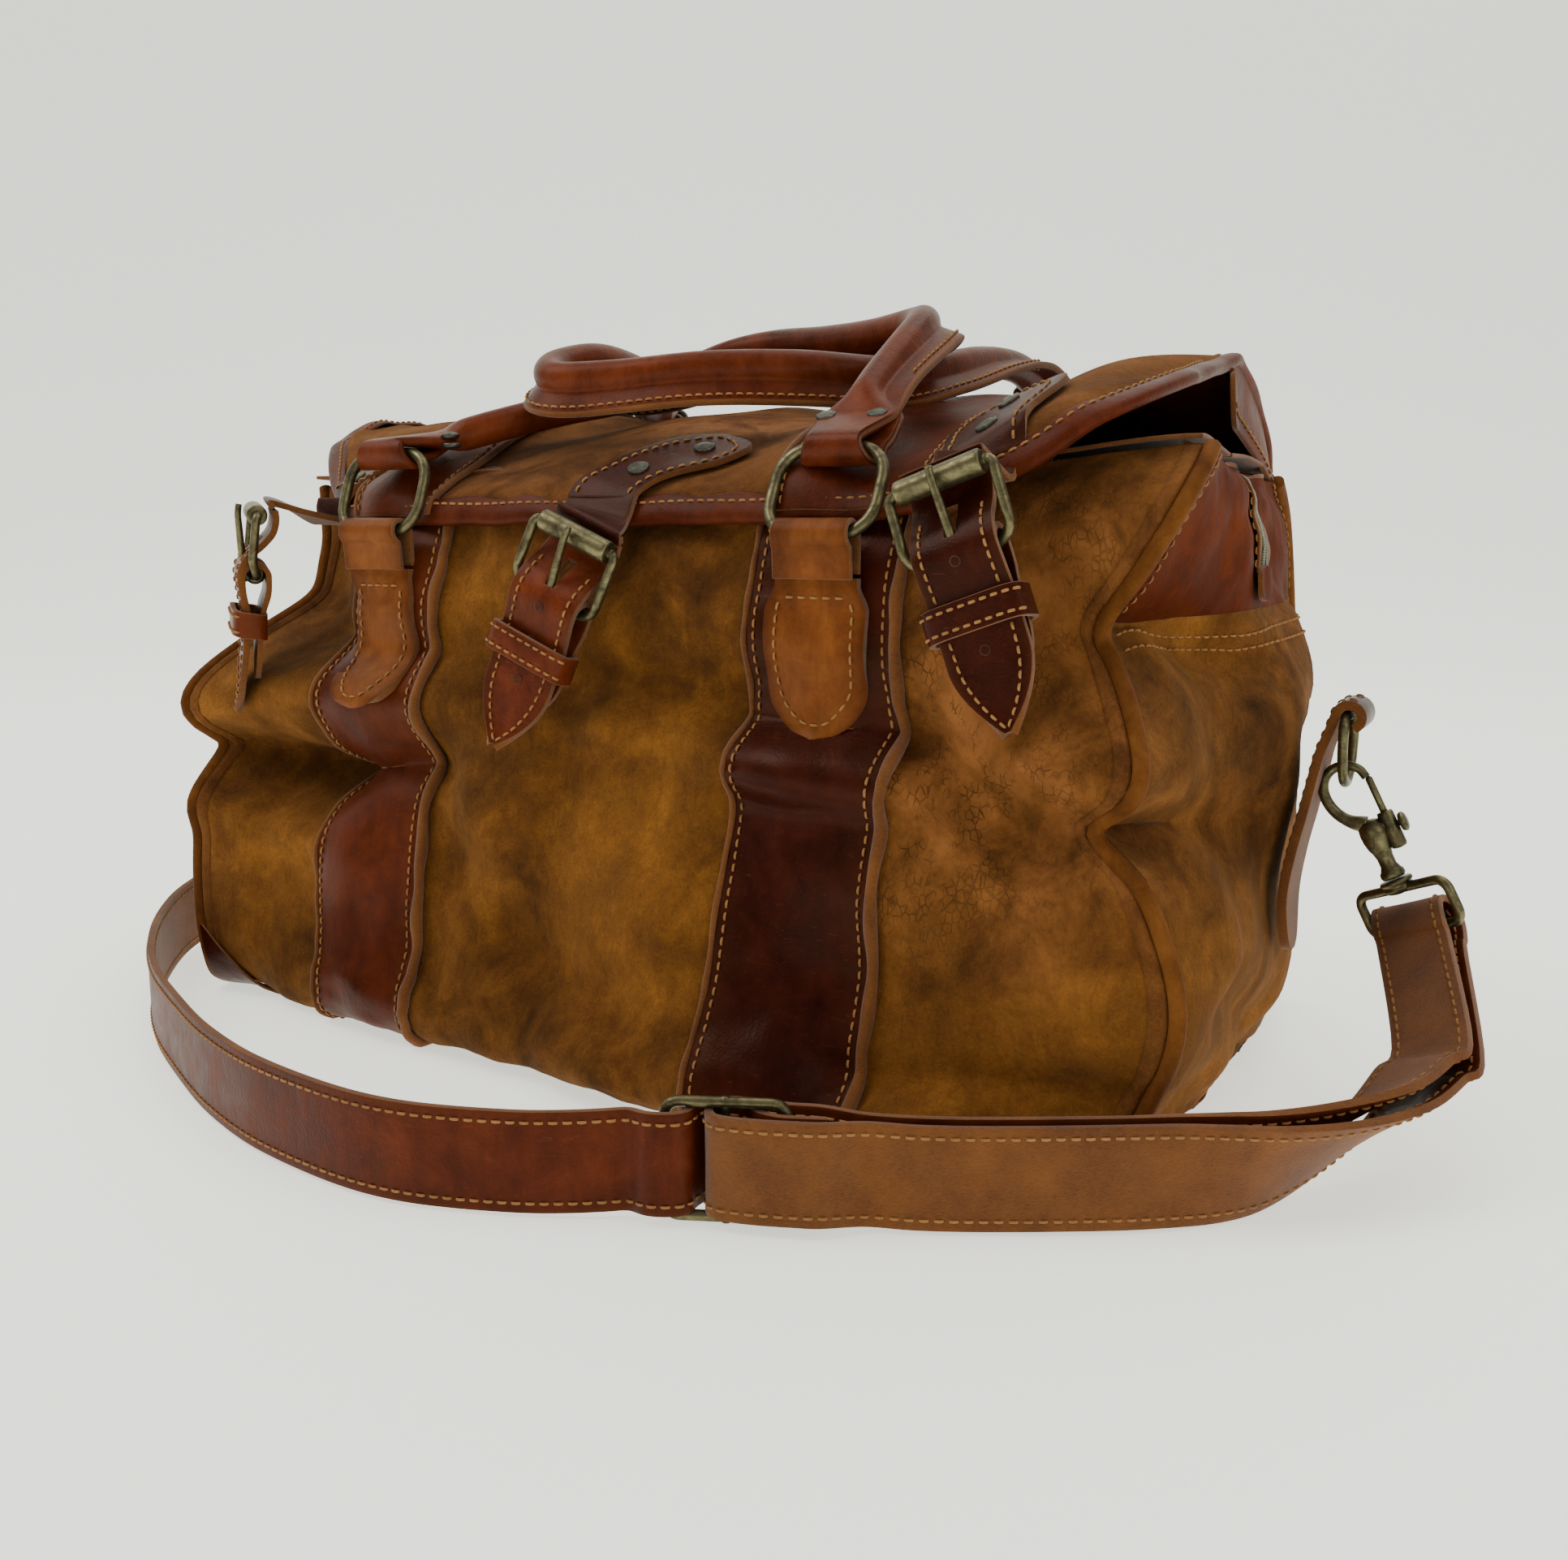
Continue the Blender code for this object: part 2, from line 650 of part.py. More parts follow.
def build_hook(word, turned_end):
    placed = hook_matrix(turned_end)
    # the bow, open at its outer side, then the barrel below it
    bow = [(0.0090, 0.0, -0.0005), (0.0060, 0.0, 0.0050), (0.0, 0.0, 0.0068),
           (-0.0068, 0.0, 0.0045), (-0.0098, 0.0, -0.0030), (-0.0085, 0.0, -0.0115),
           (-0.0020, 0.0, -0.0195), (0.0020, 0.0, -0.0260), (0.0025, 0.0, -0.0330),
           (0.0020, 0.0, -0.0400)]
    swell = [0.55, 0.6, 0.7, 0.75, 0.75, 0.75, 1.1, 1.4, 1.2, 1.35]
    body = tube(f"hook_body_{word}", bow, 0.0030, brass(), swell=swell, sides=2)
    body.matrix_world = placed
    gate = tube(f"hook_gate_{word}",
                [(0.0098, 0.0, -0.0037), (0.0098, 0.0, -0.0150), (0.0098, 0.0, -0.0262)],
                0.0016, brass(), sides=1)
    gate.matrix_world = placed
    # a collar, and the flat loop under it that the strap goes through
    width, drop = 0.0265, 0.0245
    outline = cut_corners(-width, width, -drop, 0.0, 0.005)
    inner = cut_corners(-width + 0.0035, width - 0.0035, -drop + 0.0035, -0.0060, 0.003)
    collar = frame_plate(f"hook_swivel_{word}", outline, [inner], 0.0040, brass())
    collar.matrix_world = placed @ Matrix.Translation((0.0018, 0.0, -0.0452)) @ BAR_TURN


# the swivel loop's flat plane stands up, its bar across the strap that hangs in it
BAR_TURN = Matrix.Rotation(math.radians(-33), 4, "Z") @ Matrix.Rotation(math.radians(90), 4, "X")


def strap_bar(side):
    """The middle and the direction of the bar that the strap's end goes round."""
    placed = hook_matrix(end_matrix(side)) @ Matrix.Translation((0.0018, 0.0, -0.0452)) @ BAR_TURN
    middle = placed @ Vector((0.0, -0.02275, 0.0))
    along = (placed.to_3x3() @ Vector((1.0, 0.0, 0.0))).normalized()
    return middle, along


# middle line of the strap on the ground, from near the right hook round the front to the left
GROUND = [(0.352, -0.066, 0.046), (0.338, -0.100, 0.032), (0.309, -0.138, 0.0225),
          (0.278, -0.162, 0.0205), (0.240, -0.186, 0.0205), (0.202, -0.206, 0.0205),
          (0.172, -0.220, 0.0222)]
FAR_GROUND = [(0.105, -0.249, 0.0222), (0.070, -0.266, 0.0205), (0.018, -0.280, 0.0205),
              (-0.040, -0.274, 0.0205), (-0.092, -0.258, 0.0205), (-0.145, -0.232, 0.0205),
              (-0.202, -0.198, 0.0205), (-0.256, -0.153, 0.0205), (-0.303, -0.100, 0.0205),
              (-0.330, -0.050, 0.024), (-0.352, -0.010, 0.034), (-0.356, 0.025, 0.046)]
SLIDER_AT = Vector((0.137, -0.235, 0.0232))
SLIDER_TURN = math.radians(23)
SIDE_GAP = 0.0042


def slider_matrix():
    return Matrix.Translation(SLIDER_AT) @ Matrix.Rotation(SLIDER_TURN, 4, "Z")


def strap_stations():
    """Middle points of the strap, one after another, each with its width direction."""
    upright = Vector((0.0, 0.0, 1.0))
    slider = slider_matrix()
    stations = []

    def add(point, width):
        stations.append((Vector(point), Vector(width).normalized()))

    # round the slider's middle bar, from the sewn end
    for a, b in ((0.036, -0.0052), (0.028, -0.0052), (0.020, -0.0050), (0.013, -0.0018),
                 (0.0075, 0.0034), (0.0030, 0.0052), (-0.0020, 0.0052), (-0.0056, 0.0018),
                 (-0.0056, -0.0024), (-0.0030, -0.0066), (0.004, -0.0088), (0.013, -0.0100),
                 (0.024, -0.0106), (0.034, -0.0106)):
        add(slider @ Vector((a, b, 0.0)), upright)
    bar, along = strap_bar(1)

    def doubled(share, offset):
        run = [Vector(p) for p in reversed(GROUND)]
        here = Vector(through(run, share))
        ahead = Vector(through(run, share + 0.02)) - Vector(through(run, share - 0.02))
        width = upright.lerp(along, ease((share - 0.42) / 0.58))
        width.normalize()
        away = ahead.cross(width).normalized()
        return here + away * offset, width

    for step in range(1, 15):
        add(*doubled(step / 14, SIDE_GAP))
    # the fold round the hook's bar
    last, _ = doubled(1.0, 0.0)
    run = (bar - last).normalized()
    away = run.cross(along).normalized()
    for ahead, off in ((-0.016, 0.0046), (-0.006, 0.0062), (0.004, 0.0068), (0.011, 0.0052),
                       (0.0145, 0.0), (0.011, -0.0052), (0.004, -0.0068), (-0.006, -0.0062),
                       (-0.016, -0.0046)):
        add(bar + run * ahead + away * off, along)
    for step in range(14, 0, -1):
        add(*doubled(step / 14, -SIDE_GAP))
    # behind the slider's right bar and the fold, through its left slot and in front
    for a, b in ((0.034, 0.0060), (0.022, 0.0070), (0.010, 0.0098), (0.000, 0.0110),
                 (-0.0080, 0.0085), (-0.0118, 0.0030), (-0.0140, -0.0035), (-0.0190, -0.0062),
                 (-0.027, -0.0060)):
        add(slider @ Vector((a, b, 0.0)), upright)
    bar, along = strap_bar(-1)
    for step in range(37):
        share = step / 36
        width = upright.lerp(along * -1.0, ease((share - 0.80) / 0.20))
        add(through(FAR_GROUND, share), width)
    last = Vector(FAR_GROUND[-1])
    run = (bar - last).normalized()
    away = run.cross(along).normalized()
    for ahead, off in ((-0.010, 0.0058), (0.000, 0.0066), (0.006, 0.0056), (0.0095, 0.0),
                       (0.006, -0.0056), (0.000, -0.0066), (-0.008, -0.0064)):
        add(bar + run * ahead + away * -off, along * -1.0)
    return stations


def build_shoulder_strap():
    stations = strap_stations()

    def strap(u, v):
        step = min(int(v * (len(stations) - 1) + 1e-6), len(stations) - 1)
        middle, width = stations[step]
        return middle + width * (u - 0.5) * SHOULDER_WIDTH

    sheet("shoulder_strap", strap, 1, len(stations) - 1, SHOULDER_THICK, leather(), outward=0.0)
    outline = cut_corners(-0.0235, 0.0235, -0.0230, 0.0230, 0.004)
    slots = [cut_corners(low, low + 0.0180, -0.0203, 0.0203, 0.001) for low in (-0.0200, 0.0020)]
    frame = frame_plate("strap_slider", outline, slots, 0.0036, brass())
    frame.matrix_world = slider_matrix() @ Matrix.Rotation(math.radians(90), 4, "X")


for old in list(bpy.data.objects):
    bpy.data.objects.remove(old, do_unlink=True)
parts = bpy.data.collections.new(NAME)
bpy.context.scene.collection.children.link(parts)

build_shell()
build_bands()
build_rings()
build_handles()
build_flap()
for closure in CLOSURES:
    build_closure(closure)
build_zip()
build_hangers()
build_shoulder_strap()
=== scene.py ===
"""The visual model of the weekender bag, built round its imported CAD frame.

Metres. +X runs along the bag to its right end, -Y is the front, +Z is up.
"""
import math
import random

import bmesh
import bpy
from mathutils import Matrix, Vector, noise


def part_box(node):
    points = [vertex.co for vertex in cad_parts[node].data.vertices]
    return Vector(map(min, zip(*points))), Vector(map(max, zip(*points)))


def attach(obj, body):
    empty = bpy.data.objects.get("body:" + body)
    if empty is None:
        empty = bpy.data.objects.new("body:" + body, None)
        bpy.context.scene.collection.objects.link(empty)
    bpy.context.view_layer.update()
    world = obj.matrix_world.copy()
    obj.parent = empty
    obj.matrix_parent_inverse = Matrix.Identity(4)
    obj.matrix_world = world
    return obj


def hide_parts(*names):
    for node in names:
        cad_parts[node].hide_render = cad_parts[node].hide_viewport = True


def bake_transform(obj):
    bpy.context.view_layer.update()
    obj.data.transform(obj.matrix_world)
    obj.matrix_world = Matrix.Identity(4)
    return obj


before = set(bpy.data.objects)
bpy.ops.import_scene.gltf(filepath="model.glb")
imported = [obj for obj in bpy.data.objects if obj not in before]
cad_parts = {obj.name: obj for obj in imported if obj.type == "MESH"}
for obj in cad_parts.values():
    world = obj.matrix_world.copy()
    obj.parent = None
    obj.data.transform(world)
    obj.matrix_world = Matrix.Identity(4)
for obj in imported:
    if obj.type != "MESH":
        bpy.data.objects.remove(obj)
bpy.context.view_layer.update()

# driving dimensions, as in the CAD
HALF_LENGTH = 0.249
SUEDE = 0.0025
LEATHER = 0.0022
BAND_X = 0.119
BAND_WIDTH = 0.068
RING_HALF_WIDTH = 0.024
RING_HALF_HEIGHT = 0.0195
STRAP_WIDTH = 0.034
SHOULDER_WIDTH = 0.038
SHOULDER_THICK = 0.003

SECTION = [(0.112, 0.004), (0.129, 0.013), (0.135, 0.040), (0.135, 0.100), (0.130, 0.165),
           (0.123, 0.213), (0.108, 0.246), (0.086, 0.264)]
SLUMP = [
    ((-0.245, -0.10, 0.225), (0.085, 0.10, 0.062), (0.030, 0.070, 0.000)),
    ((-0.230, -0.12, 0.160), (0.050, 0.08, 0.026), (-0.008, -0.014, 0.000)),
    ((-0.185, -0.12, 0.120), (0.060, 0.06, 0.024), (0.000, 0.028, 0.000)),
    ((0.080, -0.13, 0.045), (0.150, 0.08, 0.070), (0.000, -0.015, 0.000)),
    ((0.015, -0.12, 0.162), (0.100, 0.06, 0.014), (0.000, 0.010, 0.000)),
    ((0.245, -0.12, 0.205), (0.060, 0.09, 0.030), (-0.016, 0.012, 0.000)),
    ((0.245, -0.11, 0.262), (0.050, 0.07, 0.030), (0.012, 0.000, 0.010)),
    ((0.245, -0.12, 0.070), (0.050, 0.07, 0.040), (0.018, 0.000, 0.000)),
    ((0.250, 0.02, 0.150), (0.040, 0.08, 0.050), (0.022, 0.000, 0.000)),
    ((0.250, 0.00, 0.055), (0.040, 0.12, 0.045), (0.014, 0.000, 0.000)),
    ((-0.250, -0.02, 0.150), (0.040, 0.08, 0.050), (-0.022, 0.000, 0.000)),
    ((-0.250, 0.00, 0.055), (0.040, 0.12, 0.045), (-0.014, 0.000, 0.000)),
]
# the finer folds: both ends of a crease or ridge, its half width, and how far it pushes the skin
FOLDS = [
    ((-0.185, -0.14, 0.166), (0.020, -0.14, 0.160), 0.013, (0.0, -0.011, 0.0)),
    ((0.020, -0.14, 0.160), (0.110, -0.14, 0.150), 0.012, (0.0, -0.008, 0.0)),
    ((-0.160, -0.14, 0.188), (0.090, -0.14, 0.180), 0.014, (0.0, 0.008, 0.0)),
    ((-0.240, -0.13, 0.132), (-0.150, -0.14, 0.122), 0.011, (0.006, 0.016, 0.0)),
    ((-0.170, -0.14, 0.124), (-0.085, -0.14, 0.132), 0.010, (0.0, 0.011, 0.0)),
    ((-0.245, -0.13, 0.102), (-0.165, -0.14, 0.092), 0.012, (0.0, -0.008, 0.0)),
    ((-0.085, -0.14, 0.140), (-0.060, -0.14, 0.085), 0.012, (0.0, 0.006, 0.0)),
    ((-0.050, -0.14, 0.115), (0.060, -0.14, 0.085), 0.024, (0.0, -0.007, 0.0)),
    ((0.185, -0.14, 0.240), (0.245, -0.13, 0.200), 0.013, (-0.004, 0.010, 0.0)),
    ((0.150, -0.14, 0.175), (0.205, -0.14, 0.125), 0.012, (0.0, 0.010, 0.0)),
    ((0.195, -0.14, 0.165), (0.250, -0.13, 0.150), 0.014, (0.004, -0.009, 0.0)),
    ((0.215, -0.14, 0.132), (0.262, -0.12, 0.138), 0.011, (-0.009, 0.006, 0.0)),
    ((0.160, -0.14, 0.100), (0.225, -0.14, 0.070), 0.020, (0.0, -0.006, 0.0)),
    ((0.150, -0.14, 0.030), (0.235, -0.13, 0.040), 0.010, (0.0, 0.007, 0.0)),
    ((0.080, -0.14, 0.148), (0.160, -0.14, 0.142), 0.009, (0.0, -0.009, 0.0)),
    ((0.080, -0.14, 0.163), (0.160, -0.14, 0.160), 0.008, (0.0, 0.006, 0.0)),
    ((-0.070, -0.14, 0.226), (0.000, -0.14, 0.176), 0.014, (0.0, 0.007, 0.0)),
    ((-0.030, -0.14, 0.060), (0.060, -0.14, 0.028), 0.012, (0.0, 0.005, 0.0)),
    ((-0.245, -0.10, 0.205), (-0.190, -0.12, 0.190), 0.012, (0.008, 0.010, 0.0)),
    ((0.255, -0.115, 0.130), (0.275, -0.060, 0.126), 0.013, (-0.016, 0.0, 0.0)),
    ((0.258, -0.095, 0.205), (0.268, -0.030, 0.188), 0.012, (-0.012, 0.0, 0.0)),
    ((0.258, 0.050, 0.150), (0.268, 0.110, 0.120), 0.014, (-0.012, 0.0, 0.0)),
    ((0.262, -0.07, 0.060), (0.270, -0.010, 0.030), 0.012, (-0.010, 0.0, 0.0)),
    ((-0.262, -0.10, 0.120), (-0.275, -0.040, 0.110), 0.012, (0.012, 0.0, 0.0)),
    ((-0.262, 0.03, 0.205), (-0.268, 0.10, 0.180), 0.012, (0.012, 0.0, 0.0)),
    ((-0.250, -0.16, 0.030), (-0.250, -0.14, 0.085), 0.042, (0.013, 0.004, 0.0)),
    ((0.070, -0.14, 0.006), (0.170, -0.14, 0.006), 0.034, (0.0, -0.036, 0.0)),
    ((-0.110, -0.14, 0.006), (0.020, -0.14, 0.006), 0.028, (0.0, -0.018, 0.0)),
    ((0.225, -0.14, 0.010), (0.250, -0.13, 0.010), 0.014, (-0.006, 0.010, 0.0)),
    ((-0.200, 0.14, 0.150), (0.020, 0.14, 0.128), 0.014, (0.0, -0.012, 0.0)),
    ((-0.200, 0.14, 0.122), (0.020, 0.14, 0.100), 0.014, (0.0, 0.007, 0.0)),
    ((0.060, 0.14, 0.190), (0.230, 0.13, 0.120), 0.014, (0.0, -0.011, 0.0)),
    ((-0.060, 0.14, 0.060), (0.180, 0.14, 0.050), 0.014, (0.0, -0.009, 0.0)),
]

FLAP_SECTION = [(0.108, 0.266), (0.086, 0.287), (0.042, 0.298), (0.000, 0.295),
                (-0.050, 0.284), (-0.086, 0.272), (-0.110, 0.259), (-0.119, 0.245)]
FLAP_HALF = 0.245
FLAP_CORNER = 0.185
RING_PIVOT_Z = 0.241
RING_PIVOT_OUT = 0.0134
RING_LEAN = {("front", "left"): math.radians(20), ("front", "right"): math.radians(28),
             ("back", "left"): math.radians(-6), ("back", "right"): math.radians(-6)}
CLOSURES = {
    "left": ((-0.1930, -0.128, 0.250), math.radians(-40), math.radians(-4), math.radians(3), -0.140),
    "middle": ((0.0130, -0.1460, 0.240), 0.0, math.radians(-23), math.radians(2), 0.040),
    "right": ((0.1760, -0.1440, 0.262), 0.0, math.radians(20), math.radians(1), 0.181),
}
BAR_DROP = 0.030
TAB_DROP = 0.080
TIP_DROP = 0.097
HANG_X, HANG_Z = 0.3035, 0.166
HOOK_TILT = math.radians(27)


def through(points, share):
    """A point on a smooth curve through the given points, with share running from 0 to 1."""
    last = len(points) - 1
    place = min(max(share, 0.0), 1.0) * last
    step = min(int(place), last - 1)
    f = place - step
    near = [points[max(step - 1, 0)], points[step], points[step + 1], points[min(step + 2, last)]]
    return [0.5 * (2 * b + (c - a) * f + (2 * a - 5 * b + 4 * c - d) * f ** 2
                   + (3 * b - a - 3 * c + d) * f ** 3) for a, b, c, d in zip(*near)]


def through_line(points, share):
    """As through, but carried on straight past both ends."""
    inside = min(max(share, 0.0), 1.0)
    here = through(points, inside)
    if inside == share:
        return here
    step = 0.01 if share < 0 else -0.01
    near = through(points, inside + step)
    return [a + (b - a) / step * (share - inside) for a, b in zip(here, near)]


def ease(value):
    """A smooth step from 0 to 1."""
    value = min(max(value, 0.0), 1.0)
    return value * value * (3 - 2 * value)


def slump(point):
    """The shell's own sag and folds, as one smooth map that all its layers share."""
    point = Vector(point)
    moved = point.copy()
    for centre, reach, push in SLUMP:
        far = sum(((p - c) / r) ** 2 for p, c, r in zip(point, centre, reach))
        if far < 9:
            moved += Vector(push) * math.exp(-far)
    for start, stop, reach, push in FOLDS:
        start, run = Vector(start), Vector(stop) - Vector(start)
        share = min(max((point - start).dot(run) / run.length_squared, 0.0), 1.0)
        far = (point - start - run * share)
        far.y *= 0.35
        far.x *= 0.6
        far = far.length / reach
        if far < 3:
            moved += Vector(push) * math.exp(-far * far)
    return moved


def share_at(height):
    """Where on the shell's section this height is reached."""
    low, high = 0.0, 1.0
    for _ in range(30):
        middle = (low + high) / 2
        if through(SECTION, middle)[1] < height:
            low = middle
        else:
            high = middle
    return low


def lifted(surface, u, v, out):
    """A point of surface(u, v), moved off it by out along its own normal."""
    step = 0.003
    along = surface(u + step, v) - surface(u - step, v)
    up = surface(u, v + step) - surface(u, v - step)
    return surface(u, v) + along.cross(up).normalized() * out


def crumple(point, size, amount):
    """Small seeded unevenness along the normal of a soft skin."""
    return amount * noise.noise(Vector(point) / size)


def grounded(point):
    """Soft parts spread on the floor and do not pass through it."""
    point.z = max(point.z, 0.0005)
    return point


def wall(side, x, share, out=0.0):
    """A point on the front (side -1) or the back (side 1) of the shell."""

    def surface(u, v):
        y, z = through_line(SECTION, v)
        return slump((-side * u, side * y, z))

    rough = crumple((x, side * 0.3, share * 0.3), 0.030, 0.0026) + crumple((x, side, share * 0.3), 0.011, 0.0007)
    rough += crumple((x, side, share * 0.24), 0.062, 0.0085) * (1 - ease((share - 0.50) / 0.12))
    rough *= 1 - min(abs(x) / HALF_LENGTH, 1.0) ** 10
    return grounded(lifted(surface, -side * x, share, out + rough))


def end_wall(side, across, share, out=0.0):
    """A point on an end of the shell, with across from -1 at the front to 1 at the back."""

    def surface(u, v):
        y, z = through_line(SECTION, v)
        crown = 0.012 * (1 - u ** 2) * math.sin(math.pi * min(max(v, 0.0), 1.0))
        return slump((side * (HALF_LENGTH + crown), side * y * u, z))

    here = (side, across * 0.12, share * 0.3)
    rough = crumple(here, 0.030, 0.0034) + crumple(here, 0.011, 0.0008)
    rough += crumple((side, across * 0.12, share * 0.24), 0.055, 0.0080)
    return grounded(lifted(surface, side * across, share, out + rough * (1 - across ** 4)))


def standing(side, x, out, height):
    """A point beside the upright part of the front or the back, and straight up above it."""
    y = through(SECTION, share_at(min(height, 0.222)))[0]
    return slump((x, side * (y + out), height))


def flap_reach(x):
    """How far forward the flap comes here: less at its rounded corners."""
    beyond = max(abs(x) - FLAP_CORNER, 0.0) / (FLAP_HALF - FLAP_CORNER)
    return 1.0 - 0.42 * beyond ** 2


def flap_point(x, share, out=0.0):
    """A point on the flap, with share from 0 at the back edge to 1 at the front edge."""

    def surface(u, v):
        y, z = through_line(FLAP_SECTION, -v * flap_reach(u))
        lift = 0.016 * ease((u - 0.12) / 0.10) * ease((-v - 0.1) / 0.5)
        return slump((u, y, z + lift))

    rough = crumple((x, share * 0.25, 7.0), 0.040, 0.0026)
    return lifted(surface, x, -share, out + rough)


def tone(red, green, blue):
    """A linear colour from one given in eight-bit sRGB."""
    return tuple((c / 255 / 12.92) if c <= 10 else ((c / 255 + 0.055) / 1.055) ** 2.4
                 for c in (red, green, blue)) + (1.0,)


# materials

def blank(name):
    made = bpy.data.materials.new(name)
    made.use_nodes = True
    tree = made.node_tree
    shader = tree.nodes["Principled BSDF"]
    place = tree.nodes.new("ShaderNodeTexCoord").outputs["Object"]
    return made, tree, shader, place


def spread(tree, place, stretch):
    """The same coordinates, stretched along the axes."""
    mapping = tree.nodes.new("ShaderNodeMapping")
    mapping.inputs["Scale"].default_value = stretch
    tree.links.new(place, mapping.inputs["Vector"])
    return mapping.outputs["Vector"]


def noisy(tree, place, scale, detail=3.0, rough=0.55, warp=0.0):
    made = tree.nodes.new("ShaderNodeTexNoise")
    made.inputs["Scale"].default_value = scale
    made.inputs["Detail"].default_value = detail
    made.inputs["Roughness"].default_value = rough
    made.inputs["Distortion"].default_value = warp
    tree.links.new(place, made.inputs["Vector"])
    return made.outputs["Fac"]


def cells(tree, place, scale, feature="F1"):
    made = tree.nodes.new("ShaderNodeTexVoronoi")
    made.feature = feature
    made.inputs["Scale"].default_value = scale
    tree.links.new(place, made.inputs["Vector"])
    return made.outputs["Distance"]


def ramp(tree, value, *stops):
    made = tree.nodes.new("ShaderNodeValToRGB")
    band = made.color_ramp
    while len(band.elements) < len(stops):
        band.elements.new(0.5)
    for element, (at, colour) in zip(band.elements, stops):
        element.position = at
        element.color = colour if isinstance(colour, tuple) else (colour, colour, colour, 1.0)
    tree.links.new(value, made.inputs["Fac"])
    return made.outputs["Color"]


def mixed(tree, share, low, high, how="MIX"):
    made = tree.nodes.new("ShaderNodeMix")
    made.data_type = "RGBA"
    made.blend_type = how
    for socket, value in ((made.inputs[0], share), (made.inputs[6], low), (made.inputs[7], high)):
        if isinstance(value, bpy.types.NodeSocket):
            tree.links.new(value, socket)
        else:
            socket.default_value = value
    return made.outputs[2]


def maths(tree, how, first, second):
    made = tree.nodes.new("ShaderNodeMath")
    made.operation = how
    made.use_clamp = how != "MULTIPLY_ADD"
    for socket, value in zip(made.inputs, (first, second)):
        if isinstance(value, bpy.types.NodeSocket):
            tree.links.new(value, socket)
        else:
            socket.default_value = value
    return made.outputs[0]


def bumped(tree, shader, *layers):
    """Bump layers of (height, strength, depth in metres), the coarsest first."""
    normal = None
    for height, strength, depth in layers:
        made = tree.nodes.new("ShaderNodeBump")
        made.inputs["Strength"].default_value = strength
        made.inputs["Distance"].default_value = depth
        tree.links.new(height, made.inputs["Height"])
        if normal:
            tree.links.new(normal, made.inputs["Normal"])
        normal = made.outputs["Normal"]
    tree.links.new(normal, shader.inputs["Normal"])


def painted(tree, channel):
    """One channel of the colour that the mesh code gives each point."""
    made = tree.nodes.new("ShaderNodeAttribute")
    made.attribute_name = "wear"
    split = tree.nodes.new("ShaderNodeSeparateColor")
    tree.links.new(made.outputs["Color"], split.inputs["Color"])
    return split.outputs[channel]


def make_suede(name, light, middle, dark):
    """Napped suede. The mesh paints grime and painted shade in red, rubbed and cracked grain in green."""
    made, tree, shader, place = blank(name)
    broad = noisy(tree, place, 9.0, 4.0, 0.6, 0.6)
    patchy = noisy(tree, place, 34.0, 5.0, 0.65, 0.4)
    nap = noisy(tree, place, 900.0, 2.0, 0.7)
    tufts = noisy(tree, spread(tree, place, (1.0, 1.0, 0.45)), 260.0, 4.0, 0.7, 0.8)
    colour = ramp(tree, broad, (0.34, dark), (0.48, middle), (0.62, light))
    colour = mixed(tree, 0.60, colour, ramp(tree, patchy, (0.30, dark), (0.50, middle), (0.70, light)))
    colour = mixed(tree, 0.5, colour, ramp(tree, tufts, (0.25, 0.30), (0.75, 0.72)), "OVERLAY")
    colour = mixed(tree, 0.45, colour, ramp(tree, nap, (0.25, 0.25), (0.75, 0.75)), "OVERLAY")
    # red darkens the suede for grime and for painted shade in creases, under the flap's front edge and along the floor
    grime_and_shade = painted(tree, 0)
    grime_and_shade_blotch = maths(tree, "MULTIPLY", grime_and_shade, ramp(tree, patchy, (0.30, 1.0), (0.65, 0.55)))
    colour = mixed(tree, grime_and_shade_blotch, colour, mixed(tree, 1.0, colour, (0.26, 0.19, 0.14, 1.0), "MULTIPLY"))
    # where the nap has worn off, the skin is smooth, browner and cracked
    rubbed = painted(tree, 1)
    edge = maths(tree, "MULTIPLY", rubbed, ramp(tree, patchy, (0.36, 0.15), (0.60, 1.0)))
    skin = ramp(tree, patchy, (0.3, tone(100, 56, 25)), (0.7, tone(150, 94, 46)))
    colour = mixed(tree, edge, colour, skin)
    crack_place = spread(tree, place, (1.0, 1.0, 0.6))
    cracks = ramp(tree, cells(tree, crack_place, 330.0, "DISTANCE_TO_EDGE"), (0.0, 1.0), (0.09, 0.0))
    patches = ramp(tree, noisy(tree, place, 55.0, 3.0, 0.6, 1.2), (0.47, 0.0), (0.60, 1.0))
    where = maths(tree, "MULTIPLY", maths(tree, "MULTIPLY", painted(tree, 2), patches), cracks)
    colour = mixed(tree, maths(tree, "MULTIPLY", where, 0.55), colour, tone(44, 24, 12))
    tree.links.new(colour, shader.inputs["Base Color"])
    rough = mixed(tree, edge, (0.96, 0.96, 0.96, 1.0), (0.62, 0.62, 0.62, 1.0))
    tree.links.new(rough, shader.inputs["Roughness"])
    shader.inputs["Specular IOR Level"].default_value = 0.12
    shader.inputs["Sheen Weight"].default_value = 0.09
    shader.inputs["Sheen Roughness"].default_value = 0.45
    shader.inputs["Sheen Tint"].default_value = tone(226, 176, 110)
    bumped(tree, shader, (patchy, 0.35, 0.0030), (where, 0.8, -0.0006), (tufts, 0.40, 0.0009), (nap, 0.55, 0.0005))
    return made


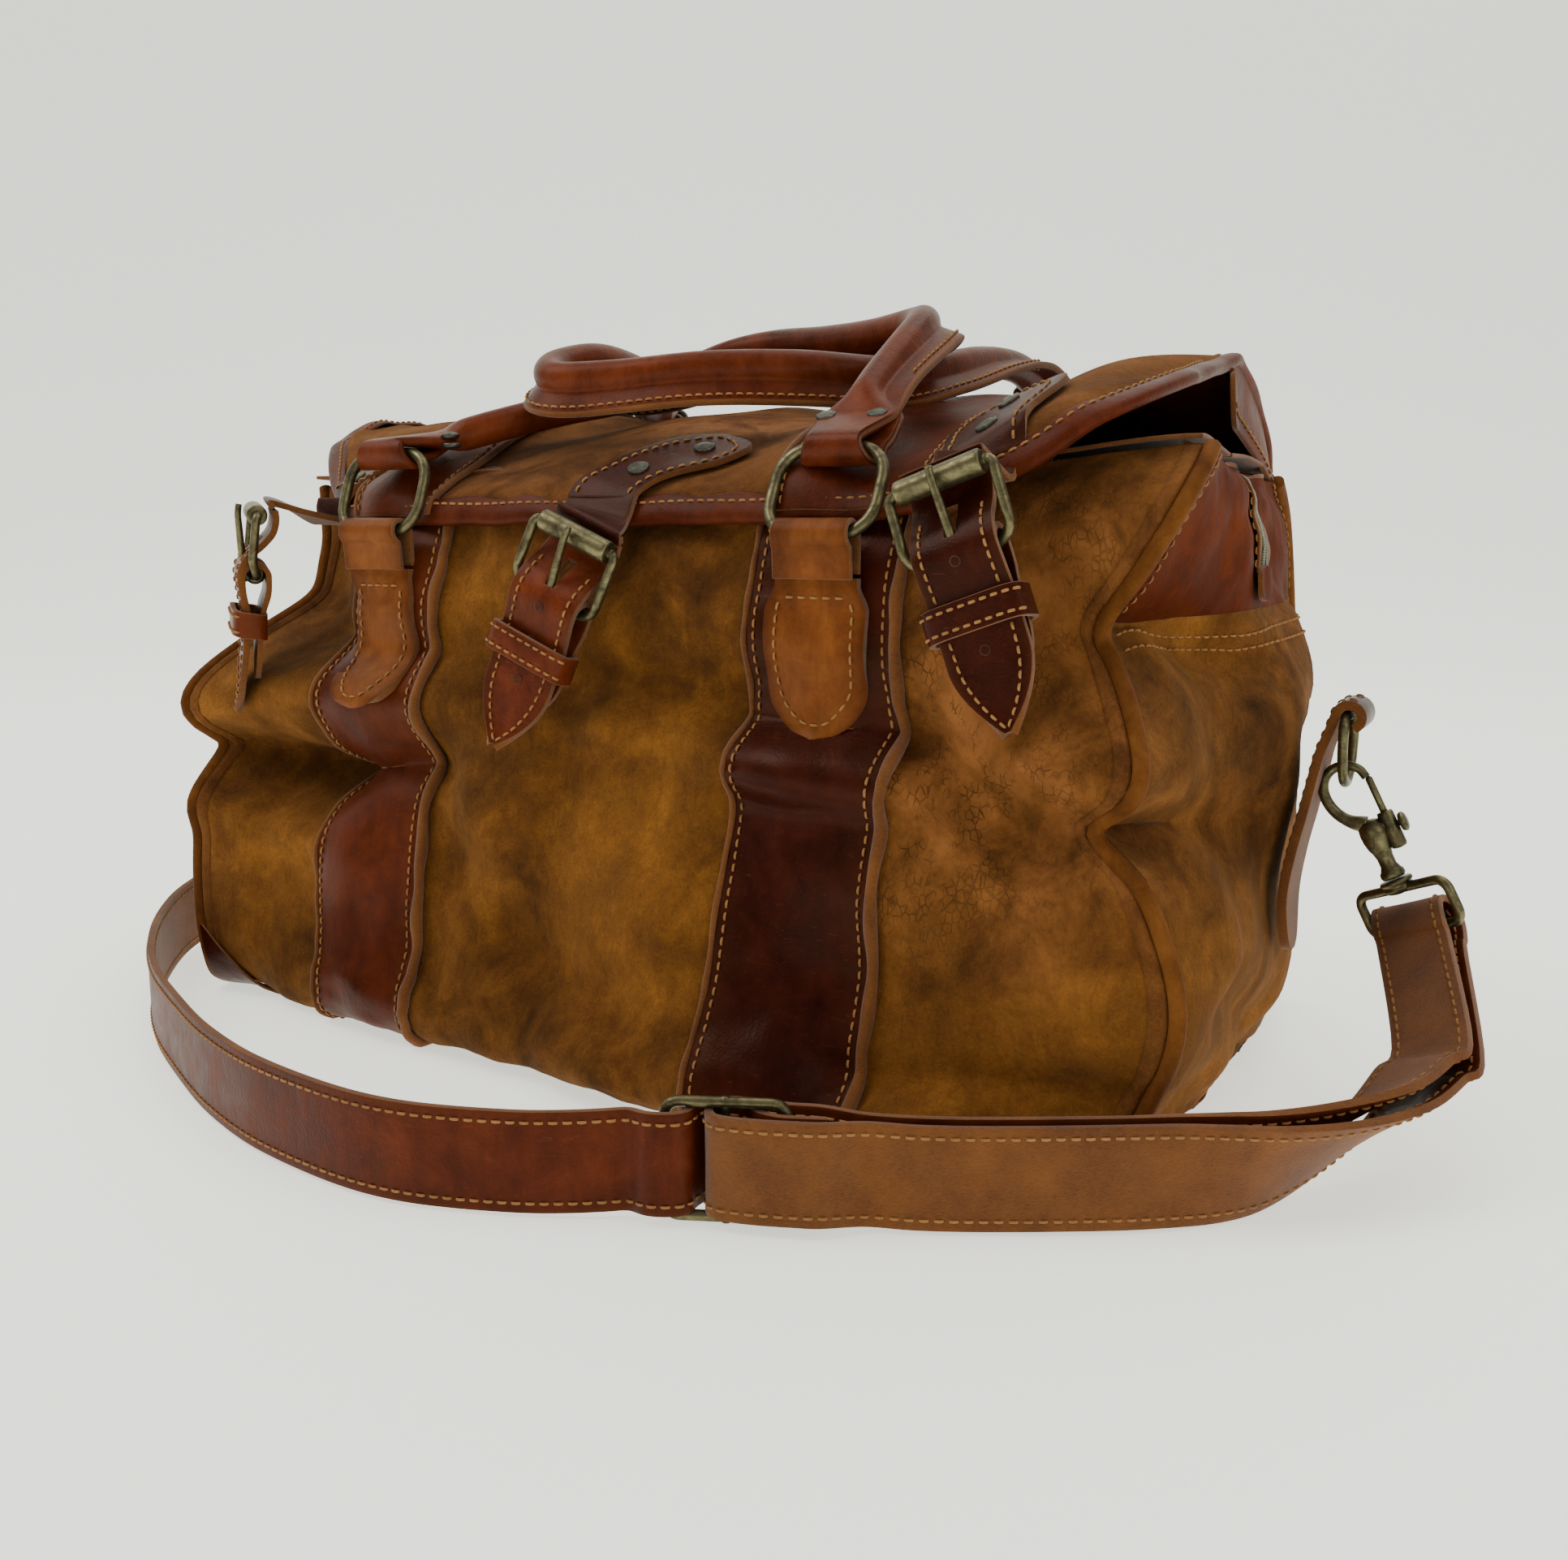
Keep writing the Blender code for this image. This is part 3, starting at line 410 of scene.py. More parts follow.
def make_leather(name, light, middle, dark, gloss=0.44, coat=0.05, grain=1.0):
    """Smooth aniline leather. The mesh paints burnishing in red and rubbed edges in green."""
    made, tree, shader, place = blank(name)
    broad = noisy(tree, place, 14.0, 4.0, 0.6, 0.8)
    cloud = noisy(tree, place, 60.0, 5.0, 0.65, 0.5)
    streak = noisy(tree, spread(tree, place, (1.0, 1.0, 0.18)), 180.0, 3.0, 0.6, 0.4)
    pores = cells(tree, place, 780.0)
    fine = noisy(tree, place, 1500.0, 2.0, 0.6)
    colour = ramp(tree, broad, (0.30, dark), (0.50, middle), (0.70, light))
    colour = mixed(tree, 0.55, colour, ramp(tree, cloud, (0.28, dark), (0.50, middle), (0.74, light)))
    colour = mixed(tree, 0.35, colour, ramp(tree, streak, (0.30, 0.30), (0.72, 0.68)), "OVERLAY")
    colour = mixed(tree, 0.25, colour, ramp(tree, pores, (0.05, 0.38), (0.5, 0.60)), "OVERLAY")
    colour = mixed(tree, maths(tree, "MULTIPLY", painted(tree, 0), 0.85), colour,
                   mixed(tree, 1.0, colour, (0.30, 0.20, 0.17, 1.0), "MULTIPLY"))
    scuffs = ramp(tree, noisy(tree, spread(tree, place, (0.5, 0.5, 2.2)), 240.0, 6.0, 0.75, 1.5),
                  (0.60, 0.0), (0.72, 1.0))
    scuffs = maths(tree, "MULTIPLY", scuffs, 0.45)
    worn = maths(tree, "ADD", scuffs, painted(tree, 1))
    colour = mixed(tree, maths(tree, "MULTIPLY", worn, 0.55), colour, tone(142, 86, 44))
    tree.links.new(colour, shader.inputs["Base Color"])
    rough = ramp(tree, cloud, (0.25, gloss - 0.10), (0.75, gloss + 0.14))
    rough = mixed(tree, worn, rough, (0.75, 0.75, 0.75, 1.0))
    tree.links.new(rough, shader.inputs["Roughness"])
    shader.inputs["Specular IOR Level"].default_value = 0.13 if coat else 0.04
    shader.inputs["Specular Tint"].default_value = tone(236, 176, 140)
    shader.inputs["Coat Tint"].default_value = tone(250, 214, 190)
    shader.inputs["Coat Weight"].default_value = coat
    shader.inputs["Coat Roughness"].default_value = 0.30
    bumped(tree, shader, (cloud, 0.30 * grain, 0.0016), (streak, 0.25 * grain, 0.0006),
           (pores, 0.30 * grain, 0.00025), (fine, 0.25 * grain, 0.00012))
    return made


def make_edge(name, light, dark):
    """The fibrous cut edge and flesh side of the leather."""
    made, tree, shader, place = blank(name)
    fibres = noisy(tree, spread(tree, place, (1.0, 1.0, 2.5)), 700.0, 3.0, 0.7, 0.6)
    broad = noisy(tree, place, 40.0, 3.0, 0.6)
    colour = mixed(tree, 0.5, ramp(tree, broad, (0.3, dark), (0.7, light)),
                   ramp(tree, fibres, (0.25, dark), (0.75, light)))
    tree.links.new(colour, shader.inputs["Base Color"])
    shader.inputs["Roughness"].default_value = 0.95
    shader.inputs["Specular IOR Level"].default_value = 0.2
    shader.inputs["Sheen Weight"].default_value = 0.2
    bumped(tree, shader, (broad, 0.3, 0.001), (fibres, 0.6, 0.0006))
    return made


def make_brass(name, light, dark, rough=0.36):
    """Aged brass: olive brown and brighter in cloudy patches."""
    made, tree, shader, place = blank(name)
    cloud = noisy(tree, place, 130.0, 5.0, 0.7, 0.6)
    pits = noisy(tree, place, 900.0, 3.0, 0.7)
    scratches = noisy(tree, spread(tree, place, (0.15, 1.0, 1.0)), 900.0, 2.0, 0.6)
    colour = ramp(tree, cloud, (0.34, dark), (0.62, light))
    colour = mixed(tree, 0.4, colour, ramp(tree, scratches, (0.3, 0.32), (0.7, 0.70)), "OVERLAY")
    tree.links.new(colour, shader.inputs["Base Color"])
    shader.inputs["Metallic"].default_value = 0.88
    tree.links.new(ramp(tree, cloud, (0.3, rough + 0.16), (0.7, rough - 0.06)), shader.inputs["Roughness"])
    bumped(tree, shader, (cloud, 0.15, 0.0006), (pits, 0.25, 0.00015), (scratches, 0.12, 0.0001))
    return made


def make_thread(name, light, dark):
    made, tree, shader, place = blank(name)
    twist = noisy(tree, place, 1600.0, 2.0, 0.6)
    age = noisy(tree, place, 30.0, 3.0, 0.6)
    colour = mixed(tree, 0.5, ramp(tree, age, (0.35, dark), (0.65, light)),
                   ramp(tree, twist, (0.3, dark), (0.7, light)))
    tree.links.new(colour, shader.inputs["Base Color"])
    shader.inputs["Roughness"].default_value = 0.8
    shader.inputs["Specular IOR Level"].default_value = 0.3
    bumped(tree, shader, (twist, 0.6, 0.0003))
    return made


SUEDE_SKIN = make_suede("suede_nap", tone(140, 90, 36), tone(100, 61, 21), tone(52, 29, 11))
WORN_SUEDE = make_suede("suede_worn", tone(124, 78, 37), tone(96, 57, 24), tone(57, 31, 14))
LEATHER_SKIN = make_leather("leather_brown", tone(106, 48, 23), tone(80, 31, 14), tone(46, 16, 9))
DARK_SKIN = make_leather("leather_burnished", tone(72, 26, 15), tone(50, 14, 8), tone(26, 8, 5), 0.34, 0.05)
TAN_SKIN = make_leather("leather_tan", tone(144, 88, 40), tone(116, 64, 28), tone(76, 38, 17), 0.46, 0.03)
PIPE_SKIN = make_leather("leather_piping", tone(126, 80, 38), tone(98, 58, 26), tone(60, 32, 15), 0.52, 0.0)
PLUM_SKIN = make_leather("leather_plum", tone(76, 38, 26), tone(58, 26, 18), tone(34, 15, 11), 0.42, 0.08)
HANDLE_SKIN = make_leather("leather_handle", tone(130, 64, 34), tone(98, 41, 20), tone(54, 21, 12), 0.36, 0.08)
END_SKIN = make_leather("leather_end", tone(112, 54, 26), tone(86, 36, 16), tone(52, 20, 11), 0.62, 0.0)
EDGE_SKIN = make_edge("leather_flesh", tone(132, 80, 32), tone(78, 42, 17))
DARK_EDGE = make_edge("leather_edge_dark", tone(78, 44, 24), tone(42, 22, 12))
LINING = make_edge("lining", tone(72, 44, 26), tone(44, 26, 17))
BRASS = make_brass("brass_aged", tone(118, 110, 77), tone(66, 60, 42))
RIVET = make_brass("brass_rivet", tone(98, 98, 86), tone(56, 54, 46), 0.42)
THREAD = make_thread("thread_tan", tone(158, 110, 62), tone(116, 72, 38))
PALE_THREAD = make_thread("thread_gold", tone(172, 124, 70), tone(126, 82, 40))


# mesh helpers

def evenly(count):
    return [n / count for n in range(count + 1)]


def marked(width, marks, step):
    """Shares across a strip of this width, closer together round each mark in metres."""
    places = {0.0, width}
    for mark in marks:
        for off in (-0.0022, -0.0011, 0.0, 0.0011, 0.0022):
            places.add(min(max(mark + off, 0.0), width))
    places = sorted(places)
    out = [places[0]]
    for place in places[1:]:
        parts = max(1, math.ceil((place - out[-1]) / step))
        start = out[-1]
        out += [start + (place - start) * n / parts for n in range(1, parts + 1)]
    return [place / width for place in out]


def placed_on(thing, body="bag", slot="leather", *replaced):
    """Gives a finished piece its body and hides the CAD nodes it stands for. The slot is not used."""
    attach(thing, body)
    if replaced:
        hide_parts(*replaced)
    return thing


def tidy_normals(mesh):
    """Turns all faces of a closed mesh outwards."""
    form = bmesh.new()
    form.from_mesh(mesh)
    bmesh.ops.recalc_face_normals(form, faces=form.faces)
    form.to_mesh(mesh)
    form.free()


def new_piece(name, mesh, skins):
    thing = bpy.data.objects.new(name, mesh)
    bpy.context.scene.collection.objects.link(thing)
    for skin in skins:
        mesh.materials.append(skin)
    mesh.shade_smooth()
    return thing


def grid(name, point, us, vs, thick, skins, wear=None, gaps=(), round_edge=0.0005, closed=False):
    """A dense sheet on point(u, v) whose outer face is the first skin, its cut edge the second."""
    mesh = bpy.data.meshes.new(name)
    rows, across = len(vs), len(us)
    corners = [point(u, v) for v in vs for u in us]
    faces = []
    wrap = across if closed else across - 1
    for row in range(rows - 1):
        for n in range(wrap):
            after = (n + 1) % across
            middle_u = (us[n] + us[after]) / 2
            middle_v = (vs[row] + vs[row + 1]) / 2
            if any(a < middle_u < b and c < middle_v < d for a, b, c, d in gaps):
                continue
            faces.append((row * across + n, row * across + after, (row + 1) * across + after,
                          (row + 1) * across + n))
    mesh.from_pydata(corners, [], faces)
    if wear:
        layer = mesh.color_attributes.new("wear", "FLOAT_COLOR", "POINT")
        values = []
        for place, corner in enumerate(corners):
            values += [*wear(us[place % across], vs[place // across], corner), 1.0]
        layer.data.foreach_set("color", values)
    if gaps:
        form = bmesh.new()
        form.from_mesh(mesh)
        bmesh.ops.delete(form, geom=[v for v in form.verts if not v.link_faces], context="VERTS")
        form.to_mesh(mesh)
        form.free()
    thing = new_piece(name, mesh, skins)
    if thick:
        solid = thing.modifiers.new("thickness", "SOLIDIFY")
        solid.thickness = thick
        solid.offset = -1.0
        solid.material_offset_rim = 1 if len(skins) > 1 else 0
        solid.material_offset = 2 if len(skins) > 2 else (1 if len(skins) > 1 else 0)
        if round_edge:
            bevel = thing.modifiers.new("soft edge", "BEVEL")
            bevel.width = round_edge
            bevel.segments = 2
            bevel.limit_method = "ANGLE"
            bevel.angle_limit = math.radians(55)
            bevel.material = 1 if len(skins) > 1 else -1
    return thing


def loft(name, rings, skins, closed=False):
    """A closed skin over rings of points, one after another."""
    count, total = len(rings[0]), len(rings)
    faces = []
    for step in range(total if closed else total - 1):
        here, there = step * count, ((step + 1) % total) * count
        faces += [(here + n, here + (n + 1) % count, there + (n + 1) % count, there + n) for n in range(count)]
    if not closed:
        faces += [tuple(reversed(range(count))), tuple((total - 1) * count + n for n in range(count))]
    mesh = bpy.data.meshes.new(name)
    mesh.from_pydata([point for ring in rings for point in ring], [], faces)
    tidy_normals(mesh)
    return new_piece(name, mesh, skins)


def carried(frames, outlines):
    """Outlines of (across, up) pairs put on frames of (place, across, up, scale across, scale up)."""
    return [[place + across * (a * wide) + up * (b * high) for a, b in outline]
            for (place, across, up, wide, high), outline in zip(frames, outlines)]


def swept(name, frames, outline, skins, closed=False):
    return loft(name, carried(frames, [outline] * len(frames)), skins, closed)


def circle(sides, radius=1.0):
    return [(radius * math.cos(2 * math.pi * n / sides), radius * math.sin(2 * math.pi * n / sides))
            for n in range(sides)]


def rounded_frame(half, top, low, bend, steps):
    """The outline (x, y) of a frame with rounded corners, closed."""
    middle, tall = (top + low) / 2, (top - low) / 2
    out = []
    for quarter, (a, b) in enumerate(((1, 1), (-1, 1), (-1, -1), (1, -1))):
        for n in range(steps):
            turn = math.pi / 2 * (quarter + n / (steps - 1))
            x = a * (half - bend) + bend * math.cos(turn)
            out.append((x, middle + b * (tall - bend) + bend * math.sin(turn)))
    return out + out[:1]


def frames_along(points, up=Vector((0, 0, 1)), closed=False, radii=None):
    """Frames for swept along a path, turning as little as they can."""
    out = []
    total = len(points)
    last = None
    for step, place in enumerate(points):
        if closed:
            ahead = points[(step + 1) % total] - points[step - 1]
        else:
            ahead = points[min(step + 1, total - 1)] - points[max(step - 1, 0)]
        ahead.normalize()
        guide = last if last else up
        side = ahead.cross(guide)
        if side.length < 1e-4:
            side = ahead.cross(Vector((1, 0, 0)))
        side.normalize()
        above = side.cross(ahead).normalized()
        last = above
        size = radii(step / (total - 1)) if callable(radii) else (radii or 1.0)
        out.append((place, side, above, size, size))
    return out


def smooth_path(knots, count, closed=False):
    """Evenly spread points on a smooth curve through the knots."""
    knots = [Vector(k) for k in knots]
    if closed:
        knots = [knots[-1], *knots, knots[0], knots[1]]
        span = (1 / (len(knots) - 1), 1 - 2 / (len(knots) - 1))
        dense = [Vector(through(knots, span[0] + (span[1] - span[0]) * n / 600)) for n in range(601)]
    else:
        dense = [Vector(through(knots, n / 600)) for n in range(601)]
    return resampled(dense, count + 1 if closed else count)[:count]


def resampled(dense, count):
    """Points at even distances along a line."""
    lengths = [0.0]
    for a, b in zip(dense, dense[1:]):
        lengths.append(lengths[-1] + (b - a).length)
    out, at = [], 0
    for n in range(count):
        want = lengths[-1] * n / (count - 1)
        while at < len(lengths) - 2 and lengths[at + 1] < want:
            at += 1
        gap = lengths[at + 1] - lengths[at] or 1.0
        out.append(dense[at].lerp(dense[at + 1], (want - lengths[at]) / gap))
    return out


def wire(name, points, radius, skins, closed=False, sides=14, radii=None):
    return swept(name, frames_along(points, closed=closed, radii=radii), circle(sides, radius), skins, closed)


def closed_wire(name, knots, count, radius):
    """A closed brass wire through knots whose last is the first again."""
    return wire(name, resampled(knots, count + 1)[:count], radius, [BRASS], closed=True)


def lathe(name, profile, matrix, skins, steps=28):
    """A profile of (radius, height) turned round its own Z, then put in place."""
    return loft(name, [[matrix @ Vector((r * a, r * b, h)) for a, b in circle(steps)] for r, h in profile], skins)


def stitches(name, runs, body, skin=None, pitch=0.0050, length=0.0036, thick=0.00055, slot="leather"):
    """Thread along runs; each run is a list of (point, normal). Every stitch dips in at its ends."""
    corners, faces = [], []
    for run in runs:
        total = sum((b[0] - a[0]).length for a, b in zip(run, run[1:]))
        count = max(2, int(total / pitch))
        at, gone = 0, 0.0
        for n in range(count):
            want = total * (n + 0.5) / count
            while at < len(run) - 2 and gone + (run[at + 1][0] - run[at][0]).length < want:
                gone += (run[at + 1][0] - run[at][0]).length
                at += 1
            step = run[at + 1][0] - run[at][0]
            if step.length < 1e-9:
                continue
            share = (want - gone) / step.length
            centre = run[at][0] + step * share
            normal = run[at][1].lerp(run[at + 1][1], share).normalized()
            along = step.normalized()
            side = along.cross(normal).normalized()
            start = len(corners)
            for place, high, size in ((-0.5, -1.2, 0.6), (-0.36, 0.1, 1.0), (0.0, 0.5, 1.1), (0.36, 0.1, 1.0),
                                      (0.5, -1.2, 0.6)):
                for turn in range(6):
                    angle = math.pi * turn / 3
                    corners.append(centre + along * place * length
                                   + side * math.cos(angle) * thick * size
                                   + normal * (math.sin(angle) * size * 0.8 + high) * thick)
            for row in range(4):
                for turn in range(6):
                    after = (turn + 1) % 6
                    faces.append((start + row * 6 + turn, start + row * 6 + after,
                                  start + row * 6 + 6 + after, start + row * 6 + 6 + turn))
            faces.append(tuple(start + n for n in range(6)))
            faces.append(tuple(start + 24 + n for n in reversed(range(6))))
    mesh = bpy.data.meshes.new(name)
    mesh.from_pydata(corners, [], faces)
    tidy_normals(mesh)
    return placed_on(new_piece(name, mesh, [skin or THREAD]), body, slot)


def mirrored(path):
    """A path of (u, v) pairs that ends at u 0.5, carried on down the other side."""
    return path + [(1 - u, v) for u, v in reversed(path[:-1])]


def facing(point, u, v, step):
    """The unit normal of point(u, v)."""
    return (point(u + step, v) - point(u - step, v)).cross(point(u, v + step) - point(u, v - step)).normalized()


def run_on(point, path, out=0.0003, count=160):
    """A stitch run on point(u, v) along a path of (u, v) pairs."""
    run = []
    for n in range(count + 1):
        u, v = through(path, n / count) if len(path) > 2 else [
            a + (b - a) * n / count for a, b in zip(*path)]
        normal = facing(point, u, v, 0.002)
        run.append((point(u, v) + normal * out, normal))
    return run


def rivet(name, place, normal, body, radius=0.0048):
    """A domed cap with a turned rim."""
    turn = Vector((0, 0, 1)).rotation_difference(normal).to_matrix().to_4x4()
    profile = [(radius * 0.96, -0.0010), (radius, 0.0004), (radius * 0.97, 0.0009), (radius * 0.86, 0.0012),
               (radius * 0.80, 0.0010), (radius * 0.60, 0.0015), (radius * 0.30, 0.0019), (radius * 0.05, 0.0020)]
    thing = lathe(name, profile, Matrix.Translation(place) @ turn, [RIVET])
    return placed_on(thing, body, "aged_brass")


# how worn and how shaded each place is: middle, reach, and the amount of grime and painted shade, rubbed skin and
# cracks there
WEAR_AND_SHADE = [
    ((0.190, -0.14, 0.180), (0.045, 0.05, 0.060), (0.10, 0.85, 0.90)),
    ((0.215, -0.13, 0.245), (0.050, 0.05, 0.035), (0.05, 0.75, 0.60)),
    ((0.165, -0.14, 0.130), (0.030, 0.05, 0.060), (0.30, 0.45, 1.00)),
    ((0.225, -0.13, 0.120), (0.030, 0.05, 0.050), (0.10, 0.60, 0.30)),
    ((0.130, -0.15, 0.010), (0.100, 0.05, 0.018), (0.35, 0.25, 0.20)),
    # painted shade: this entry and the next six darken the suede under the flap's front edge and along creases of the
    # front and the right end
    ((0.030, -0.13, 0.240), (0.160, 0.05, 0.030), (0.70, 0.10, 0.10)),
    ((0.020, -0.13, 0.172), (0.120, 0.04, 0.012), (0.55, 0.00, 0.10)),
    ((-0.110, -0.13, 0.150), (0.060, 0.05, 0.030), (0.45, 0.05, 0.15)),
    ((-0.195, -0.10, 0.120), (0.060, 0.06, 0.018), (0.80, 0.00, 0.10)),
    ((-0.205, -0.08, 0.200), (0.040, 0.05, 0.030), (0.70, 0.10, 0.10)),
    ((0.020, -0.13, 0.035), (0.100, 0.05, 0.022), (0.30, 0.05, 0.00)),
    ((0.265, -0.02, 0.120), (0.030, 0.07, 0.018), (0.65, 0.10, 0.20)),
    ((0.265, 0.06, 0.150), (0.040, 0.06, 0.060), (0.20, 0.70, 0.70)),
    ((0.120, -0.03, 0.290), (0.060, 0.06, 0.040), (0.20, 0.80, 0.50)),
    ((0.020, -0.04, 0.290), (0.060, 0.05, 0.030), (0.30, 0.60, 0.60)),
    ((-0.060, -0.10, 0.262), (0.080, 0.03, 0.020), (0.60, 0.30, 0.30)),
    ((-0.150, -0.02, 0.290), (0.060, 0.06, 0.030), (0.55, 0.30, 0.30)),
    ((0.000, 0.13, 0.225), (0.240, 0.05, 0.025), (0.40, 0.30, 0.30)),
    ((-0.100, 0.13, 0.110), (0.090, 0.05, 0.050), (0.30, 0.50, 0.70)),
    # painted shade: darker along the floor, where the bag meets it
    ((0.000, 0.00, 0.000), (0.300, 0.30, 0.014), (0.55, 0.00, 0.00)),
]


def suede_wear_and_shade(_u, _v, corner):
    """Grime and painted shade, rubbed skin and cracks at a point, from the list above."""
    out = [0.0, 0.0, 0.0]
    for centre, reach, amount in WEAR_AND_SHADE:
        far = sum(((p - c) / r) ** 2 for p, c, r in zip(corner, centre, reach))
        if far < 6:
            strength = math.exp(-far)
            out = [min(1.0, a + b * strength) for a, b in zip(out, amount)]
    return out


def edge_wear(dark=0.35, rub=0.15, across=True):
    """Leather that is darker towards its long edges and rubbed at random."""

    def wear(u, v, corner):
        edge = abs(2 * (u if across else v) - 1) ** 4
        patch = 0.5 + 0.5 * noise.noise(Vector(corner) * 22)
        return (dark * edge + 0.35 * patch * patch, rub * (edge ** 2) * patch, 0.0)

    return wear


# the shell

PANEL_EDGE = HALF_LENGTH - 0.0006
END_REACH = 0.988
END_SEAM = 0.70
ZIP_TAPE = 0.085
PIPE_RADIUS = 0.0034
PIPE_OUT = 0.0024
PATCH_REACH = 0.44
RING_BEND = 0.014
LOOP_RADIUS = 0.0066
PATH_SHARES = [0.03 + 0.96 * n / 90 for n in range(91)]


def build_shell():
    for word, side in (("front", -1), ("back", 1)):

        def panel(u, v, side=side):
            return wall(side, -side * (2 * u - 1) * PANEL_EDGE, v, SUEDE)

        us = evenly(150)
        # the last strip under the flap is turned in to the mouth
        piece = grid(f"{word}_suede", panel, us, evenly(90), 0.0020, [SUEDE_SKIN, EDGE_SKIN, LINING], suede_wear_and_shade)
        placed_on(piece, "bag", "suede", f"{word}_panel")

        def mouth(u, v, side=side):
            x = -side * (2 * u - 1) * PANEL_EDGE
            opened = ease((x + 0.222) / 0.05) * ease((0.222 - x) / 0.05)
            lip = 0.002 + 0.028 * opened
            depth = 0.0890 + (lip - 0.0890) * v
            sag = 0.003 * math.sin(math.pi * v) * math.sin(9 * u + side)
            return slump((x, side * depth, 0.2702 + 0.004 * v + sag))

        vs = marked(0.055, (0.004, 0.051), 0.006)
        piece = grid(f"zip_facing_{word}", mouth, evenly(80), vs, 0.0018, [LEATHER_SKIN, EDGE_SKIN],
                     edge_wear(across=False))
        placed_on(piece, "bag", "leather", f"zip_panel_{word}")
        stitches(f"zip_facing_stitch_{word}", [run_on(mouth, ((0.03, 0.86), (0.97, 0.86)))], "bag")
        tape = []
        for n in range(150):
            u = 0.06 + 0.88 * n / 149
            tape.append((mouth(u, 0.99), mouth(u + 0.002, 0.99) - mouth(u - 0.002, 0.99)))
        zip_teeth(f"zip_chain_{word}", tape, side)
    # a ledge of leather from the back facing to the seam on which the flap turns
    def ledge(u, v):
        return slump(((2 * u - 1) * 0.236, 0.080 + 0.0275 * v, 0.2672 - 0.0012 * v))

    placed_on(grid("flap_ledge", ledge, evenly(80), evenly(5), 0.0016, [LEATHER_SKIN, EDGE_SKIN]), "bag", "leather")
    for word, side in (("left", -1), ("right", 1)):
        build_end(word, side)
    build_base()


def zip_teeth(name, places, side, up=Vector((0, 0, 1))):
    """One row of metal teeth, each a small bevelled bar clenched on the tape's edge."""
    corners, faces = [], []
    for place, ahead in places:
        along = ahead.normalized()
        out = Vector((0, -side, 0)) if side else along.cross(up).normalized()
        start = len(corners)
        for a, b, c in ((-1, -1, -1), (1, -1, -1), (1, 1, -1), (-1, 1, -1),
                        (-0.7, -0.7, 1), (0.7, -0.7, 1), (0.7, 0.7, 1), (-0.7, 0.7, 1)):
            corners.append(place + along * (a * 0.0007) + up * (b * 0.0014) + out * (0.0008 + c * 0.0019))
        for face in ((0, 1, 5, 4), (1, 2, 6, 5), (2, 3, 7, 6), (3, 0, 4, 7), (4, 5, 6, 7), (3, 2, 1, 0)):
            faces.append(tuple(start + k for k in face))
    mesh = bpy.data.meshes.new(name)
    mesh.from_pydata(corners, [], faces)
    tidy_normals(mesh)
    return placed_on(new_piece(name, mesh, [BRASS]), "bag", "aged_brass")


def seam_path(side, y_side, out):
    """The corner seam between an end and the front (y_side -1) or the back (1)."""
    return [wall(y_side, side * HALF_LENGTH, share, 0.0016) + Vector((side * out, 0.0, 0.0)) for share in PATH_SHARES]


